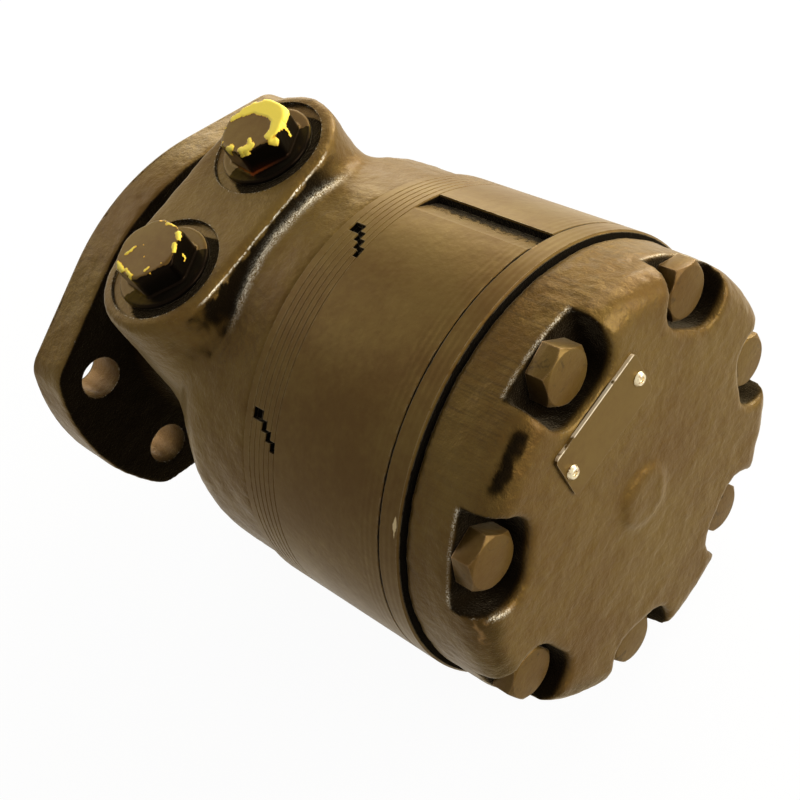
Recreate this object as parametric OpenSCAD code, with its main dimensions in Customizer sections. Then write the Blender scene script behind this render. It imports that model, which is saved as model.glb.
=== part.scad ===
// Low-speed orbital hydraulic motor with a roller stator and a laminated manifold.
// The shaft lies along Y: the mounting face is at the origin and faces +Y, the end cover
// faces -Y, and both ports face +Z. Every piece is drawn with its depth behind the mounting
// face as local z and up as local y, and stack_frame() turns it into the motor's frame.

/* [Stack] */
// Outer diameter of the machined plates, stator and balance plate
stack_d = 125.8; // [124:0.2:132]
// Width of the stator ring, which sets the displacement
stator_w = 38.9; // [32:0.1:50]
// Thickness of one manifold plate
manifold_plate_t = 1.9; // [1.5:0.1:2.4]
// Thickness of the balance plate
balance_t = 7; // [5:0.5:10]
// Chamfer on the rims of plates and rings, which shows where they meet
rim_chamfer = 0.25; // [0.1:0.05:0.4]

/* [Bolts] */
// Distance of the bolt axes inside the rim of the stack
bolt_inset = 9.9; // [9.7:0.05:10.1]
// Number of cover bolts, which is also the number of rollers
bolt_count = 7; // [7]
// Nominal diameter of a cover bolt
bolt_d = 9.525; // [8:0.005:9.6]
// Length of a cover bolt under its head
bolt_l = 88.9; // [84:0.1:92]
// Width across the flats of a bolt head
bolt_head_af = 14.29; // [13:0.01:15]
// Height of a bolt head
bolt_head_h = 6.2; // [5:0.1:7]
// Radial clearance round the bolts in the plates
bolt_clearance = 0.25; // [0.15:0.05:0.35]

/* [Mounting flange] */
// Overall length of the flange along X
flange_l = 135; // [132:0.5:142]
// Overall height of the flange along Z
flange_h = 99; // [96:0.5:102]
// Thickness of the flange
flange_t = 14.5; // [12:0.5:16]
// Distance between mounting holes along X
mount_hole_x = 98.6; // [96:0.1:100]
// Distance between mounting holes along Z
mount_hole_z = 40; // [38:0.1:42]
// Diameter of a mounting hole
mount_hole_d = 13.5; // [11:0.1:14]
// Metal between a mounting hole's centre and the flange's sloping edge
mount_hole_edge = 14.9; // [14:0.1:16]
// Slope of the flange's four long edges
flange_edge_slope = 21; // [19:0.5:23]
// Corner radius of the flange beside each mounting hole
flange_corner_r = 9; // [6:0.5:11]
// Diameter of the pilot
pilot_d = 82.55; // [76:0.05:84]
// Length of the pilot in front of the mounting face
pilot_l = 6.2; // [5.5:0.1:8]

/* [Housing casting] */
// Length from the mounting face to the manifold
housing_l = 102.3; // [101:0.1:110]
// Step from the machined band down to the cast barrel
barrel_step = 1.1; // [1:0.1:1.7]
// Length of the machined band at the manifold end
band_l = 3; // [2:0.5:6]
// Diameter of the neck behind the flange
neck_d = 74; // [72:0.5:78]
// Fillet between the neck and the flange
neck_fillet = 3.2; // [2:0.1:5]
// Depth at which the neck starts to widen
shoulder_start = 32.5; // [30:0.5:36]
// Depth at which the shoulder reaches the barrel
shoulder_end = 73.5; // [70:0.5:76]

/* [Ports] */
// Distance between the two port axes
port_pitch = 45.33; // [44:0.01:47]
// Depth of the port axes behind the mounting face
port_depth = 59.65; // [58:0.05:62]
// Height of the port face above the top of the barrel
port_face_rise = 3.7; // [2.7:0.1:6]
// Radius of the port boss round each port
boss_r = 20.4; // [19:0.1:21.4]
// Diameter of the spotface round each port
spotface_d = 33.74; // [30:0.01:36]
// Depth of the spotface
spotface_t = 0.8; // [0.4:0.1:1.2]
// Diameter of the port's threaded bore at the crests
port_bore_d = 20.6; // [19:0.1:21]
// Distance from the end of a port's bore to the axis of its gallery
port_bore_stop = 1.7; // [0.5:0.1:3]
// Diameter of the axial oil gallery behind each port
gallery_d = 9; // [7:0.5:10]
// Distance of the galleries below the top of the stack
gallery_inset = 16.9; // [16:0.1:18]

/* [End cover] */
// Thickness of the cover over its lobes
cover_t = 25; // [22:0.5:30]
// Step from the rim of the balance plate in to the cast cover
cover_step = 1.7; // [1.4:0.1:2.9]
// Radius of the cover's front edge
cover_edge_r = 8; // [5:0.5:9]
// Thickness of the cover under the bolt heads
pocket_floor_t = 15.1; // [13:0.1:17]
// Distance from a bolt's axis to the inner wall of its pocket
pocket_reach = 8.8; // [8.3:0.1:9.5]
// Width of a bolt pocket at its inner wall
pocket_w = 23.2; // [22:0.2:24]
// Widening of each pocket wall towards the rim
pocket_flare = 7.5; // [4:0.5:9]
// Corner radius of a bolt pocket
pocket_corner_r = 8; // [5:0.5:9]
// Diameter of the raised round pad in the middle of the cover
pad_d = 17; // [12:0.5:24]
// Height of the raised pad
pad_h = 1.2; // [0.6:0.1:2]

/* [Nameplate] */
// Length of the bare plate
nameplate_l = 33; // [28:0.5:36]
// Height of the bare plate
nameplate_h = 16; // [13:0.5:17]
// Thickness of the plate
nameplate_t = 0.8; // [0.5:0.1:1.2]
// Gap between the plate and the bolt pocket beside it
nameplate_gap = 0.8; // [0.4:0.1:2]
// Distance between the two rivets
rivet_pitch = 28.2; // [20:0.1:29]
// Diameter of a rivet's head
rivet_head_d = 4; // [3:0.1:5]
// Diameter of a rivet's shank
rivet_d = 2.4; // [2:0.1:2.6]
// Length of a rivet's shank in the cover
rivet_l = 4.5; // [3:0.1:5]
// Height of a rivet's head on the plate
rivet_head_h = 1.1; // [0.8:0.1:1.6]

/* [Gear set] */
// Radius of a stator roller
roller_r = 8; // [7.2:0.1:8.2]
// Distance of the roller centres inside the rim of the stack
roller_inset = 22.9; // [22.5:0.1:23.3]
// Distance between the rotor's centre and the shaft axis
eccentricity = 3.2; // [2.6:0.1:3.4]
// Running clearance of rollers in the stator and on the rotor
gear_clearance = 0.05; // [0.03:0.01:0.08]
// Running clearance of the rotor and rollers at each face
face_clearance = 0.03; // [0.02:0.01:0.06]

/* [Splines] */
// Number of teeth on the drive link and in its two sockets
spline_teeth = 12; // [10:1:12]
// Outer radius of the drive link's crowned teeth
spline_r = 16.4; // [15.5:0.1:16.8]
// Height of the teeth
spline_h = 2.2; // [1.8:0.1:2.4]
// Length of each crowned spline
spline_l = 18; // [14:0.5:20]
// Width of a drive link tooth at its middle
spline_tooth_w = 4; // [3.4:0.1:4.2]
// Clearance round the teeth in their sockets
spline_clearance = 0.3; // [0.25:0.05:0.4]

/* [Shaft] */
// Diameter of the keyed shaft end
shaft_d = 31.75; // [28:0.05:32]
// Length of shaft in front of the mounting face
shaft_l = 42; // [36:0.5:44]
// Width of the square key
key_w = 7.94; // [6:0.01:8]
// Length of the key
key_l = 24; // [18:0.1:25]
// Diameter of the seal journal
seal_journal_d = 35; // [34:0.1:36]
// Diameter of the front bearing journal
front_journal_d = 44; // [42:0.5:46]
// Diameter of the coupling cup, on which the rear bearing runs
cup_d = 57.8; // [54:0.2:58]
// Radial running clearance of the shaft in its bearings
bearing_clearance = 0.04; // [0.02:0.01:0.08]

/* [Hidden] */
$fn = 96;
cut = 0.01;

// Depths of the joints of the stack behind the mounting face
manifold_count = 5;
manifold_start = housing_l;
stator_start = manifold_start + manifold_count * manifold_plate_t;
balance_start = stator_start + stator_w;
cover_start = balance_start + balance_t;
cover_face = cover_start + cover_t;
pocket_floor = cover_start + pocket_floor_t;

// Bolt pattern, with one bolt straight up
bolt_pitch = 360 / bolt_count;
bolt_circle_r = stack_d / 2 - bolt_inset;
bolt_hole_r = bolt_d / 2 + bolt_clearance;
pocket_inner = bolt_circle_r - pocket_reach;
bolt_turns = [17, 9, 26, 4, 14, 28, 12];
tap_hole_extra = 3;

// Seal rings outside the bolt holes, and the cover's ring inside them
seal_w = 1.5;
seal_inner_r = bolt_circle_r + bolt_hole_r + 0.6;
seal_groove_t = 1.4;
cover_seal_r = pocket_inner - 0.7;
cover_relief_r = cover_seal_r - seal_w - 8;
nameplate_offset = pocket_inner - nameplate_gap - nameplate_h / 2;

// Barrel, cover, port face and galleries, which keep to the stack's rim
barrel_r = stack_d / 2 - barrel_step;
cover_r = stack_d / 2 - cover_step;
port_face_h = barrel_r + port_face_rise;
gallery_h = stack_d / 2 - gallery_inset;
port_bore_l = port_face_h - spotface_t - gallery_h - port_bore_stop;

// Inside of the housing
seal_pocket_r = 25;
dust_seal_t = 5;
shaft_seal_t = 8;
backup_t = 2;
seal_pocket_end = dust_seal_t + shaft_seal_t + backup_t - pilot_l;
lip_t = 3;
thrust_start = seal_pocket_end + lip_t;
thrust_t = 5;
shaft_shoulder = thrust_start + thrust_t + bearing_clearance;
needle_r = 1.5;
cup_wall = 1.6;
bearing_section = 2 * needle_r + cup_wall + 2 * bearing_clearance;
front_bearing_r = front_journal_d / 2 + bearing_section;
rear_bearing_r = cup_d / 2 + bearing_section;
front_bearing_start = shaft_shoulder + 4;
front_bearing_l = 22;
front_bore_end = front_bearing_start + front_bearing_l + 2;
rear_bearing_l = 22;
rear_bearing_start = housing_l - 6 - rear_bearing_l;
shaft_end = housing_l - 1.8;
key_start = 8 - shaft_l;
cup_start = front_bore_end + 3;
cup_bore_r = cup_d / 2 + 1.2;

// Drive link, which tilts between the cup's centre and the rotor's centre
link_pivot = cup_start + 26;
rotor_middle = stator_start + stator_w / 2;
link_l = rotor_middle - link_pivot;
link_tilt = atan(eccentricity / link_l);
link_neck_r = spline_r - spline_h - 2.6;
socket_r = spline_r + spline_clearance + 0.3;
link_window_r = spline_r + 5;
ball_r = 4;
ball_at = stator_start + stator_w - face_clearance - ball_r;

// Roller directions, half a pitch from the bolts
roller_circle_r = stack_d / 2 - roller_inset;
function roller_angle(i) = bolt_pitch * (i + 0.5);
stator_bore_r = roller_circle_r - 0.4;

// Oil slots, which step out from the drive link's window to the gear set
slot_inner_r = link_window_r + 4.2;
slot_outer_r = roller_circle_r - 4;
slot_step = (slot_outer_r - slot_inner_r) / (manifold_count - 1);

// Pressure grooves of the balance plate
pressure_groove_w = 4;
outer_groove_r = cover_relief_r - pressure_groove_w;
inner_groove_r = socket_r + 1;

// Manifold identification notches, which step from plate to plate
notch_w = 3.3;
notch_depth = 1.7;
notch_angle = 10.4;
notch_step = 2.05;

// Port plugs
plug_head_af = 19;
plug_head_turn = 24;
plug_top_h = port_face_h + 8.5;
plug_flange_r = 13.8;
plug_flange_t = 1.7;
plug_stub_l = 11;
plug_clearance = 0.1;
plug_seat_r = port_bore_d / 2 + 2.3;
plug_seal_r = 1.05;

// Points of an arc about a centre
function arc(centre, r, from, to, steps) =
    [for (i = [0:steps]) centre + r * [cos(from + (to - from) * i / steps),
                                       sin(from + (to - from) * i / steps)]];

// A corner b between points a and c, rounded to a radius
function unit(v) = v / norm(v);
function rounded(a, b, c, r, steps) =
    let (u = unit(a - b), v = unit(c - b), half = acos(u * v) / 2)
    let (centre = b + unit(u + v) * r / sin(half), start = b + u * r / tan(half) - centre)
    let (from = atan2(start.y, start.x), turn = sign(cross(v, u)) * (180 - 2 * half))
    arc(centre, r, from, from + turn, steps);

// Direction from straight up towards +X, as seen from the cover
module aim(angle) {
    rotate([0, 0, -angle]) children();
}

module stack_frame() {
    rotate([90, 0, 0]) children();
}

module at_bolts() {
    for (i = [0:bolt_count - 1]) aim(i * bolt_pitch) translate([0, bolt_circle_r, 0]) children();
}

// A disc with chamfered rims
module rimmed_disc(r, start, t, chamfer = rim_chamfer) {
    translate([0, 0, start])
        rotate_extrude()
            polygon([[0, 0], [r - chamfer, 0], [r, chamfer], [r, t - chamfer],
                     [r - chamfer, t], [0, t]]);
}

// A plain ring
module ring(inner, outer, start, t) {
    translate([0, 0, start])
        rotate_extrude()
            translate([inner, 0]) square([outer - inner, t]);
}

module bolt_holes(start, t) {
    translate([0, 0, start - cut]) at_bolts() cylinder(r = bolt_hole_r, h = t + 2 * cut);
}

module seal_groove(start) {
    ring(seal_inner_r, seal_inner_r + seal_w, start, seal_groove_t + cut);
}

// Outline of the mounting flange: round ends, sloping edges and a crowned top
module flange_outline() {
    end_r = flange_l / 2;
    edge = mount_hole_x / 2 * sin(flange_edge_slope) + mount_hole_z / 2 * cos(flange_edge_slope)
        + mount_hole_edge;
    edge_normal = 90 - flange_edge_slope;
    corner_angle = edge_normal - acos((edge - flange_corner_r) / (end_r - flange_corner_r));
    crown = (edge - flange_h / 2 * cos(flange_edge_slope)) / (1 - cos(flange_edge_slope));
    corner = (end_r - flange_corner_r) * [cos(corner_angle), sin(corner_angle)];
    half = concat(
        arc([0, 0], end_r, -corner_angle, corner_angle, 16),
        arc(corner, flange_corner_r, corner_angle, edge_normal, 8),
        arc([0, flange_h / 2 - crown], crown, edge_normal, 90 + flange_edge_slope, 16),
        arc([-corner.x, corner.y], flange_corner_r, 180 - edge_normal, 180 - corner_angle, 8));
    polygon(concat(half, [for (p = half) -p]));
}

// Outside of the neck, shoulder and barrel, as radius against depth
module barrel() {
    neck_r = neck_d / 2;
    band_start = housing_l - band_l;
    rotate_extrude()
        polygon(concat(
            [[0, 0], [neck_r + neck_fillet, flange_t - cut]],
            arc([neck_r + neck_fillet, flange_t + neck_fillet], neck_fillet, 270, 180, 5),
            rounded([neck_r, flange_t], [neck_r, shoulder_start], [barrel_r, shoulder_end], 14, 6),
            rounded([neck_r, shoulder_start], [barrel_r, shoulder_end], [barrel_r, housing_l], 14, 6),
            [[barrel_r, band_start], [stack_d / 2 - rim_chamfer, band_start + 0.3],
             [stack_d / 2, band_start + 0.3 + rim_chamfer],
             [stack_d / 2, housing_l - rim_chamfer], [stack_d / 2 - rim_chamfer, housing_l],
             [0, housing_l]]));
}

// One level of the port boss: two round ends at a height above the shaft axis
module boss_level(height, r) {
    for (side = [-1, 1])
        translate([side * port_pitch / 2, height, port_depth])
            rotate([-90, 0, 0]) cylinder(r = r, h = cut, $fn = 48);
}

// The port boss, drafted down to the neck and rounded at its face
module port_boss() {
    face_round = 1.4;
    hull() {
        boss_level(port_face_h - cut, boss_r - face_round);
        boss_level(port_face_h - 0.5 * face_round, boss_r - 0.3 * face_round);
        boss_level(port_face_h - 1.3 * face_round, boss_r);
        boss_level(24, boss_r + 1.2);
    }
    hull() {
        boss_level(24, boss_r + 1.2);
        boss_level(-4, boss_r - 9);
    }
}

// A port: spotface, seal seat, threaded bore and the oil gallery to the manifold
module port(side) {
    spot = port_face_h - spotface_t;
    translate([side * port_pitch / 2, 0, port_depth])
        rotate([-90, 0, 0]) {
            translate([0, 0, spot]) cylinder(d = spotface_d, h = spotface_t + 1);
            translate([0, 0, spot - 2 * plug_seal_r - plug_clearance])
                cylinder(r = plug_seat_r, h = 3);
            translate([0, 0, spot - port_bore_l]) cylinder(d = port_bore_d, h = port_bore_l);
        }
    translate([side * port_pitch / 2, gallery_h, port_depth])
        cylinder(d = gallery_d, h = housing_l - port_depth + 1);
}

// Stepped bore for the seals, the bearings and the shaft's cup
module housing_bore() {
    journal_r = seal_journal_d / 2 + 0.5;
    translate([0, 0, -pilot_l - 1]) cylinder(r = seal_pocket_r, h = seal_pocket_end + pilot_l + 1);
    translate([0, 0, seal_pocket_end - 1]) cylinder(r = journal_r, h = lip_t + 2);
    translate([0, 0, thrust_start]) cylinder(r = front_bearing_r, h = front_bore_end - thrust_start);
    translate([0, 0, front_bore_end - 1]) cylinder(r = cup_bore_r, h = housing_l);
    translate([0, 0, rear_bearing_start - 1]) cylinder(r = rear_bearing_r, h = housing_l);
}

module housing() {
    color("darkolivegreen") stack_frame() difference() {
        union() {
            linear_extrude(flange_t) flange_outline();
            barrel();
            rimmed_disc(pilot_d / 2, -pilot_l, pilot_l + 1, 0.8);
            port_boss();
        }
        housing_bore();
        port(-1);
        port(1);
        for (x = [-1, 1], y = [-1, 1])
            translate([x * mount_hole_x / 2, y * mount_hole_z / 2, -1])
                cylinder(d = mount_hole_d, h = flange_t + 2);
        translate([0, 0, pocket_floor - bolt_l - tap_hole_extra])
            at_bolts() cylinder(r = bolt_d / 2 + 0.02, h = housing_l);
        translate([0, 0, housing_l - seal_groove_t]) ring(seal_inner_r, seal_inner_r + seal_w, 0, 3);
    }
}

// A row of straight-sided teeth whose plan is barrelled, so that the link can tilt
module crowned_teeth() {
    crown = 0.45;
    half_w = spline_tooth_w / 2;
    root_r = spline_r - spline_h;
    for (i = [0:spline_teeth - 1])
        rotate([0, 0, i * 360 / spline_teeth]) rotate([0, 90, 0])
            translate([0, 0, root_r - 3]) linear_extrude(spline_h + 4)
                polygon([[-spline_l / 2, crown - half_w], [-spline_l / 6, -half_w],
                         [spline_l / 6, -half_w], [spline_l / 2, crown - half_w],
                         [spline_l / 2, half_w - crown], [spline_l / 6, half_w],
                         [-spline_l / 6, half_w], [-spline_l / 2, half_w - crown]]);
}

// A crowned spline head about its own centre
module spline_head() {
    ease = 1.1;
    intersection() {
        union() {
            cylinder(r = spline_r - spline_h, h = spline_l, center = true);
            crowned_teeth();
        }
        rotate_extrude()
            polygon([[0, -spline_l / 2], [spline_r - ease, -spline_l / 2],
                     [spline_r, -spline_l / 5], [spline_r, spline_l / 5],
                     [spline_r - ease, spline_l / 2], [0, spline_l / 2]]);
    }
}

// The socket that takes a spline head, as the shape to cut away
module spline_socket(l) {
    minor_r = spline_r - spline_h + spline_clearance + 0.6;
    slot_w = spline_tooth_w + 2 * spline_clearance;
    linear_extrude(l) {
        circle(r = minor_r);
        intersection() {
            circle(r = socket_r);
            for (i = [0:spline_teeth / 2 - 1])
                rotate(i * 360 / spline_teeth) square([3 * socket_r, slot_w], center = true);
        }
    }
}

module output_shaft() {
    shaft_r = shaft_d / 2;
    journal_r = seal_journal_d / 2;
    front_r = front_journal_d / 2;
    cup_r = cup_d / 2;
    journal_front = -pilot_l - 1.5;
    color("silver") stack_frame() difference() {
        rotate_extrude()
            polygon([[0, -shaft_l], [shaft_r - 1.5, -shaft_l], [shaft_r, -shaft_l + 1.5],
                     [shaft_r, journal_front], [journal_r, journal_front + 1.2],
                     [journal_r, shaft_shoulder], [front_r, shaft_shoulder],
                     [front_r, front_bore_end], [cup_r, cup_start], [cup_r, shaft_end - 1],
                     [cup_r - 1, shaft_end], [0, shaft_end]]);
        translate([-key_w / 2, shaft_r - key_w / 2, key_start]) cube([key_w, key_w, key_l]);
        translate([0, 0, -shaft_l - 1]) cylinder(r = 4.2, h = 22);
        translate([0, 0, link_pivot - spline_l / 2 - 1]) spline_socket(spline_l + 2);
        translate([0, 0, link_pivot + spline_l / 2]) cylinder(r = socket_r + 1.2, h = housing_l);
        translate([0, 0, link_pivot - spline_l / 2 - 4]) cylinder(r = link_neck_r, h = 5);
    }
}

module shaft_key() {
    color("dimgray") stack_frame()
        translate([-key_w / 2, shaft_d / 2 - key_w / 2, key_start]) cube([key_w, key_w, key_l]);
}

module dust_seal() {
    color("saddlebrown") stack_frame()
        translate([0, 0, -pilot_l]) rotate_extrude()
            polygon([[seal_journal_d / 2 + 1.4, 0.4], [seal_journal_d / 2 + 0.05, 1.6],
                     [seal_journal_d / 2 + 0.05, 2.2], [seal_journal_d / 2 + 2, dust_seal_t],
                     [seal_pocket_r, dust_seal_t], [seal_pocket_r, 0.4]]);
}

module shaft_seal() {
    lip_r = seal_journal_d / 2 + 0.05;
    color("black") stack_frame()
        translate([0, 0, dust_seal_t - pilot_l]) rotate_extrude()
            polygon([[lip_r + 1.5, 0], [lip_r, 2.4], [lip_r, 3.4], [lip_r + 2.2, shaft_seal_t],
                     [seal_pocket_r, shaft_seal_t], [seal_pocket_r, 0]]);
}

module seal_backup_washer() {
    color("gray") stack_frame()
        ring(seal_journal_d / 2 + 0.4, seal_pocket_r, seal_pocket_end - backup_t, backup_t);
}

// Two washers with a ring of radial needles between them
module thrust_bearing() {
    inner = seal_journal_d / 2 + 0.6;
    outer = front_bearing_r - 0.2;
    washer_t = 1;
    needle_d = thrust_t - 2 * washer_t - 0.04;
    color("lightgray") stack_frame() {
        ring(inner, outer, thrust_start, washer_t);
        ring(inner, outer, thrust_start + thrust_t - washer_t, washer_t);
        for (i = [0:17])
            rotate([0, 0, i * 20])
                translate([0, inner + 1, thrust_start + thrust_t / 2])
                    rotate([-90, 0, 0]) cylinder(d = needle_d, h = outer - inner - 2, $fn = 24);
    }
}

// A drawn cup with a full row of needles that run on a journal
module needle_bearing(journal_r, start, l) {
    track_r = journal_r + bearing_clearance;
    cup_inner_r = track_r + 2 * needle_r + bearing_clearance;
    count = floor(180 / asin((needle_r + 0.1) / (track_r + needle_r)));
    difference() {
        ring(journal_r + 0.6, cup_inner_r + cup_wall, start, l);
        ring(journal_r, cup_inner_r, start + 1, l - 2);
    }
    for (i = [0:count - 1])
        rotate([0, 0, i * 360 / count])
            translate([track_r + needle_r, 0, start + 1.1])
                cylinder(r = needle_r, h = l - 2.2, $fn = 24);
}

module front_bearing() {
    color("lightgray") stack_frame()
        needle_bearing(front_journal_d / 2, front_bearing_start, front_bearing_l);
}

module rear_bearing() {
    color("lightgray") stack_frame()
        needle_bearing(cup_d / 2, rear_bearing_start, rear_bearing_l);
}

// The drive link lies on the line from the cup's centre to the rotor's centre
module link_frame() {
    translate([0, 0, link_pivot]) rotate([link_tilt, 0, 0]) children();
}

module drive_link() {
    span = link_l / cos(link_tilt);
    ball_span = (ball_at - link_pivot) / cos(link_tilt);
    color("slategray") stack_frame() link_frame() difference() {
        union() {
            spline_head();
            cylinder(r = link_neck_r, h = span);
            translate([0, 0, span]) spline_head();
            translate([0, 0, span]) cylinder(r = spline_r - spline_h - 2, h = ball_span - span);
        }
        translate([0, 0, ball_span]) sphere(r = ball_r + face_clearance);
    }
}

module thrust_ball() {
    ball_span = (ball_at - link_pivot) / cos(link_tilt);
    color("white") stack_frame() link_frame() translate([0, 0, ball_span]) sphere(r = ball_r);
}

// One manifold plate: its oil slots move inwards and round from plate to plate
module manifold_plate(i) {
    start = manifold_start + (i - 1) * manifold_plate_t;
    step = max(0, i - 2);
    slot_r = slot_outer_r - slot_step * (manifold_count - i);
    color("tan") stack_frame() difference() {
        rimmed_disc(stack_d / 2, start, manifold_plate_t);
        translate([0, 0, start - 1]) {
            cylinder(r = link_window_r - 3, h = manifold_plate_t + 2);
            for (k = [0:bolt_count - 1])
                aim(k * bolt_pitch - notch_step * (manifold_count - i))
                    translate([0, slot_r, 0]) cylinder(r = 3, h = manifold_plate_t + 2);
            if (i < manifold_count)
                for (side = [-1, 1])
                    translate([side * port_pitch / 2, gallery_h, 0])
                        cylinder(d = gallery_d, h = manifold_plate_t + 2);
            for (k = [0, 1])
                aim(notch_angle - step * notch_step - k * bolt_pitch)
                    translate([-notch_w / 2, stack_d / 2 - notch_depth, 0])
                        cube([notch_w, notch_depth + 1, manifold_plate_t + 2]);
        }
        bolt_holes(start, manifold_plate_t);
    }
}

// A square-cut ring that fills its groove
module seal_ring(start) {
    ring(seal_inner_r + 0.05, seal_inner_r + seal_w - 0.05, start, seal_groove_t);
}

module manifold_seal() {
    color("black") stack_frame() seal_ring(housing_l - seal_groove_t);
}

module stator_seal_front() {
    color("black") stack_frame() seal_ring(stator_start);
}

module stator_seal_rear() {
    color("black") stack_frame() seal_ring(balance_start - seal_groove_t);
}

// Cast recess over one roller: its floor slopes in from the rim to a wall
module stator_recess() {
    near = 22.8;
    far = 31.8;
    rim_r = stack_d / 2;
    floor_r = seal_inner_r + seal_w + 0.3;
    far_point = floor_r * [sin(far), cos(far)];
    far_rim = (rim_r + 4) * [sin(far), cos(far)];
    near_rim = far_point + 1.4 * (rim_r * [sin(near), cos(near)] - far_point);
    linear_extrude(stator_w + 2) polygon([near_rim, far_point, far_rim]);
}

module stator_ring() {
    color("olive") stack_frame() difference() {
        rimmed_disc(stack_d / 2, stator_start, stator_w);
        translate([0, 0, stator_start - 1]) {
            cylinder(r = stator_bore_r, h = stator_w + 2);
            for (i = [0:bolt_count - 1])
                aim(roller_angle(i))
                    translate([0, roller_circle_r, 0])
                        cylinder(r = roller_r + gear_clearance, h = stator_w + 2);
            stator_recess();
        }
        bolt_holes(stator_start, stator_w);
        seal_groove(stator_start - cut);
        seal_groove(balance_start - seal_groove_t);
    }
}

module roller(i) {
    color("silver") stack_frame()
        aim(roller_angle(i - 1))
            translate([0, roller_circle_r, 0])
                rimmed_disc(roller_r, stator_start + face_clearance,
                            stator_w - 2 * face_clearance, 0.6);
}

// The rotor's outline keeps one distance from the path that the roller centres take over it
function roller_path(a) = roller_circle_r * [sin(a), cos(a)]
    - eccentricity * [sin(bolt_count * a), cos(bolt_count * a)];
function path_normal(a) = unit(roller_circle_r * [sin(a), cos(a)]
    - bolt_count * eccentricity * [sin(bolt_count * a), cos(bolt_count * a)]);
module rotor_outline() {
    lobes = bolt_count - 1;
    points = 40 * lobes;
    reach = roller_r + gear_clearance;
    polygon([for (i = [0:points - 1])
        let (a = -360 * i / points) roller_path(a) - reach * path_normal(a)]);
}

module rotor() {
    l = stator_w - 2 * face_clearance;
    valve_r = (roller_circle_r - roller_r - eccentricity + socket_r) / 2;
    color("gainsboro") stack_frame()
        translate([0, -eccentricity, stator_start + face_clearance]) difference() {
            linear_extrude(l) rotor_outline();
            translate([0, 0, -1]) spline_socket(l + 2);
            translate([0, 0, -1]) for (i = [0:11]) rotate([0, 0, i * 30])
                translate([0, valve_r, 0]) cylinder(r = 2.2, h = 9, $fn = 32);
        }
}

module balance_plate() {
    color("darkkhaki") stack_frame() difference() {
        rimmed_disc(stack_d / 2, balance_start, balance_t, 0.6);
        bolt_holes(balance_start, balance_t);
        for (r = [inner_groove_r, outer_groove_r])
            ring(r - pressure_groove_w, r, cover_start - 2, 3);
    }
}

// A bolt pocket, open at the rim, with walls that flare outwards
module pocket_outline() {
    far = cover_r + 10;
    corner = [pocket_w / 2, pocket_inner];
    far_x = pocket_w / 2 + (far - pocket_inner) * tan(pocket_flare);
    right = rounded([0, pocket_inner], corner, [far_x, far], pocket_corner_r, 8);
    polygon(concat(right, [[far_x, far], [-far_x, far]],
                   [for (i = [len(right) - 1:-1:0]) [-right[i].x, right[i].y]]));
}

module end_cover() {
    draft = 0.6;
    color("darkolivegreen") stack_frame() difference() {
        union() {
            translate([0, 0, cover_start]) rotate_extrude()
                polygon(concat(
                    [[0, 0], [cover_r - 0.9, 0], [cover_r, 1]],
                    rounded([cover_r, 1], [cover_r - draft, cover_t], [0, cover_t], cover_edge_r, 8),
                    [[0, cover_t]]));
            translate([0, 0, cover_face - 1]) rotate_extrude()
                polygon([[0, 0], [pad_d / 2 + 0.5, 0], [pad_d / 2 + 0.5, 1],
                         [pad_d / 2 - 0.5, 1 + pad_h], [0, 1 + pad_h]]);
        }
        for (i = [0:bolt_count - 1]) aim(i * bolt_pitch)
            translate([0, 0, pocket_floor]) linear_extrude(cover_t) pocket_outline();
        bolt_holes(cover_start, cover_t);
        ring(cover_seal_r - seal_w, cover_seal_r, cover_start - cut, seal_groove_t + cut);
        translate([0, 0, cover_start - 1]) cylinder(r = cover_relief_r, h = 3);
        for (side = [-1, 1])
            translate([side * rivet_pitch / 2, nameplate_offset, cover_face - rivet_l - 0.5])
                cylinder(r = rivet_d / 2 + 0.05, h = rivet_l + 1.5);
    }
}

module cover_seal() {
    color("black") stack_frame()
        ring(cover_seal_r - seal_w + 0.05, cover_seal_r - 0.05, cover_start, seal_groove_t);
}

// A hex bolt with a chamfered head, its seat at local z = 0
module hex_bolt() {
    corner_r = bolt_head_af / sqrt(3);
    intersection() {
        cylinder(r = corner_r, h = bolt_head_h, $fn = 6);
        rotate_extrude()
            polygon([[0, 0], [corner_r, 0], [corner_r, bolt_head_h - 0.8],
                     [bolt_head_af / 2 - 0.15, bolt_head_h], [0, bolt_head_h]]);
    }
    translate([0, 0, -bolt_l]) rotate_extrude()
        polygon([[0, 0], [bolt_d / 2 - 1, 0], [bolt_d / 2, 1], [bolt_d / 2, bolt_l + 1],
                 [0, bolt_l + 1]]);
}

module cover_bolts() {
    color("olivedrab") stack_frame() translate([0, 0, pocket_floor])
        for (i = [0:bolt_count - 1])
            aim(i * bolt_pitch) translate([0, bolt_circle_r, 0])
                rotate([0, 0, 90 - bolt_turns[i]]) hex_bolt();
}

module nameplate() {
    half = [nameplate_l / 2, nameplate_h / 2];
    r = 1.5;
    color("darkkhaki") stack_frame()
        translate([0, nameplate_offset, cover_face]) difference() {
            linear_extrude(nameplate_t)
                polygon(concat(arc([half.x - r, half.y - r], r, 0, 90, 5),
                               arc([r - half.x, half.y - r], r, 90, 180, 5),
                               arc([r - half.x, r - half.y], r, 180, 270, 5),
                               arc([half.x - r, r - half.y], r, 270, 360, 5)));
            for (side = [-1, 1])
                translate([side * rivet_pitch / 2, 0, -1])
                    cylinder(r = rivet_d / 2 + 0.05, h = nameplate_t + 2);
        }
}

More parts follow.
